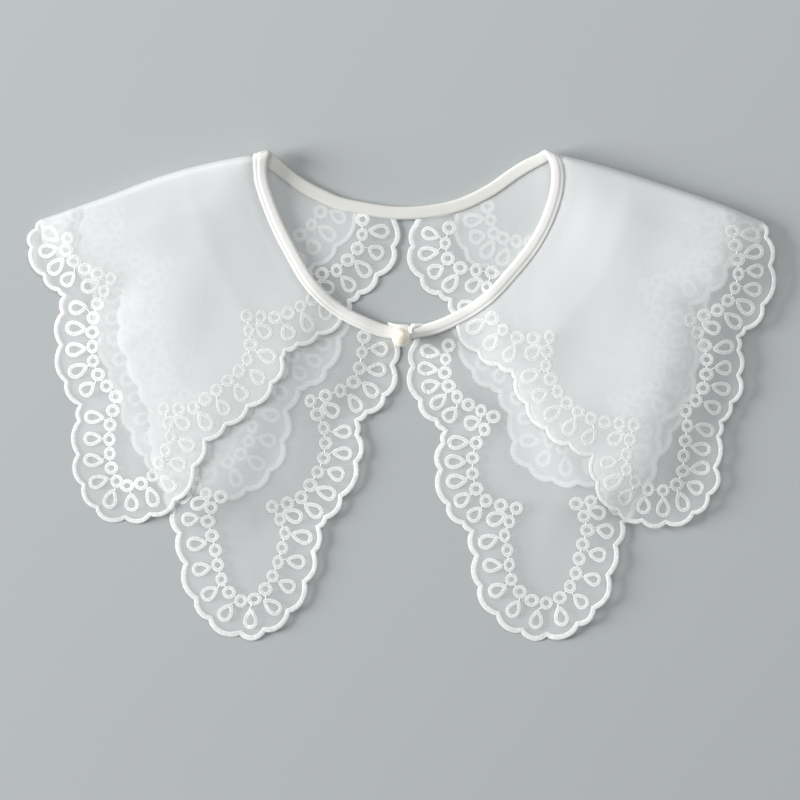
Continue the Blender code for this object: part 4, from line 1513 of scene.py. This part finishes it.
binding = makeBinding("neck_bias_tape")
print("binding folded round the neck")


# Pearl button and its thread loop

pearlSizes = {
    "place": (0.0, 27.0), "radius": 4.45, "centre": 7.7, "shank": 0.8, "foot": 2.35,
    "turns": 48, "arcs": 24,
}
loopSizes = {"thread": 0.9, "gap": 0.4, "inner": 1.1, "reach": 5.4, "twist": 2.4}


def makePearlButton(sizes):
    meet = math.asin(sizes["shank"] / sizes["radius"])
    profile = [(0.0, sizes["centre"] + sizes["radius"])]
    for k in range(1, sizes["arcs"] + 1):
        angle = (math.pi - meet) * k / sizes["arcs"]
        profile.append((sizes["radius"] * math.sin(angle),
                        sizes["centre"] + sizes["radius"] * math.cos(angle)))
    profile += [(sizes["shank"], sizes["foot"] + 0.1), (0.0, sizes["foot"])]
    shape = bmesh.new()
    x0, y0 = sizes["place"]
    points = [shape.verts.new(Vector((x0 + r, y0, z)) * mm) for r, z in profile]
    edges = [shape.edges.new(pair) for pair in zip(points, points[1:])]
    bmesh.ops.spin(
        shape, geom=points + edges, cent=Vector((x0, y0, 0)) * mm, axis=(0, 0, 1),
        angle=2 * math.pi, steps=sizes["turns"], use_merge=True,
    )
    bmesh.ops.remove_doubles(shape, verts=shape.verts, dist=0.002 * mm)
    bmesh.ops.recalc_face_normals(shape, faces=shape.faces)
    for face in shape.faces:
        face.smooth = True
    mesh = bpy.data.meshes.new("pearl_bead")
    shape.to_mesh(mesh)
    shape.free()
    mesh.materials.append(pearlPaint)
    return addPiece("pearl_bead", mesh, "cream_pearl", "pearl_button")


def makeLoop(sizes):
    x, y = pearlSizes["place"]
    height = bindingSizes["wall"] + sizes["gap"] + sizes["thread"] / 2
    radius = sizes["inner"] + sizes["thread"] / 2
    angles = np.linspace(math.pi / 2, math.pi * 1.5, 17)
    route = [(x + sizes["reach"], y + radius)]
    route += [(x + radius * math.cos(a), y + radius * math.sin(a)) for a in angles]
    route += [(x + sizes["reach"], y - radius)]
    route = resample(np.array(route), step=0.25)
    normals = leftNormals(route)
    run = arcLength(route)
    ply = sizes["thread"] * 0.26
    points, edges = [], []
    for k in range(2):
        turn = run / sizes["twist"] * 2 * math.pi + math.pi * k
        strand = np.column_stack([
            route + normals * (ply * np.cos(turn))[:, None], height + ply * np.sin(turn),
        ])
        edges += [(i, i + 1) for i in range(len(points), len(points) + len(strand) - 1)]
        points += list(strand)
    mesh = grown(
        "button_thread_loop", points, edges, strandTree,
        {"width": sizes["thread"] * 0.52, "height": sizes["thread"] * 0.52, "sides": 6,
         "material": stitchThread},
    )
    setPoints(mesh, meshPoints(mesh))
    return addPiece("button_thread_loop", mesh, "white_thread", "button_loop")


makePearlButton(pearlSizes)
makeLoop(loopSizes)
print("pearl and loop fastened")


# Light: a low soft box far to the left, a weaker one beyond the back neck, a dim surround

lights = {
    "key": {"place": (-3.2, 0.1, 1.05), "size": 1.7, "power": 181.0, "colour": "#FFFFFF"},
    "top": {"place": (0.1, 1.0, 1.2), "size": 1.2, "power": 8.2, "colour": "#FFFFFF"},
    "lampLeft": {"place": (-0.45, -0.3, 1.5), "size": 0.3, "power": 1.0, "colour": "#FFFFFF"},
    "lampRight": {"place": (0.4, 0.1, 1.5), "size": 0.3, "power": 1.0, "colour": "#FFFFFF"},
}


def makeLight(name, setup):
    data = bpy.data.lights.new(name, "AREA")
    data.shape = "DISK"
    data.size = setup["size"]
    data.energy = setup["power"]
    data.color = linear(setup["colour"])[:3]
    light = bpy.data.objects.new(name, data)
    light.location = setup["place"]
    light.rotation_euler = (-Vector(setup["place"])).to_track_quat("-Z", "Y").to_euler()
    bpy.context.scene.collection.objects.link(light)


for name, setup in lights.items():
    makeLight(name, setup)
world = bpy.data.worlds.new("surround")
world.use_nodes = True
world.node_tree.nodes["Background"].inputs["Color"].default_value = linear("#F2F5F7")
world.node_tree.nodes["Background"].inputs["Strength"].default_value = 0.22
bpy.context.scene.world = world
bpy.context.scene.view_settings.view_transform = "Standard"
print("lights set")
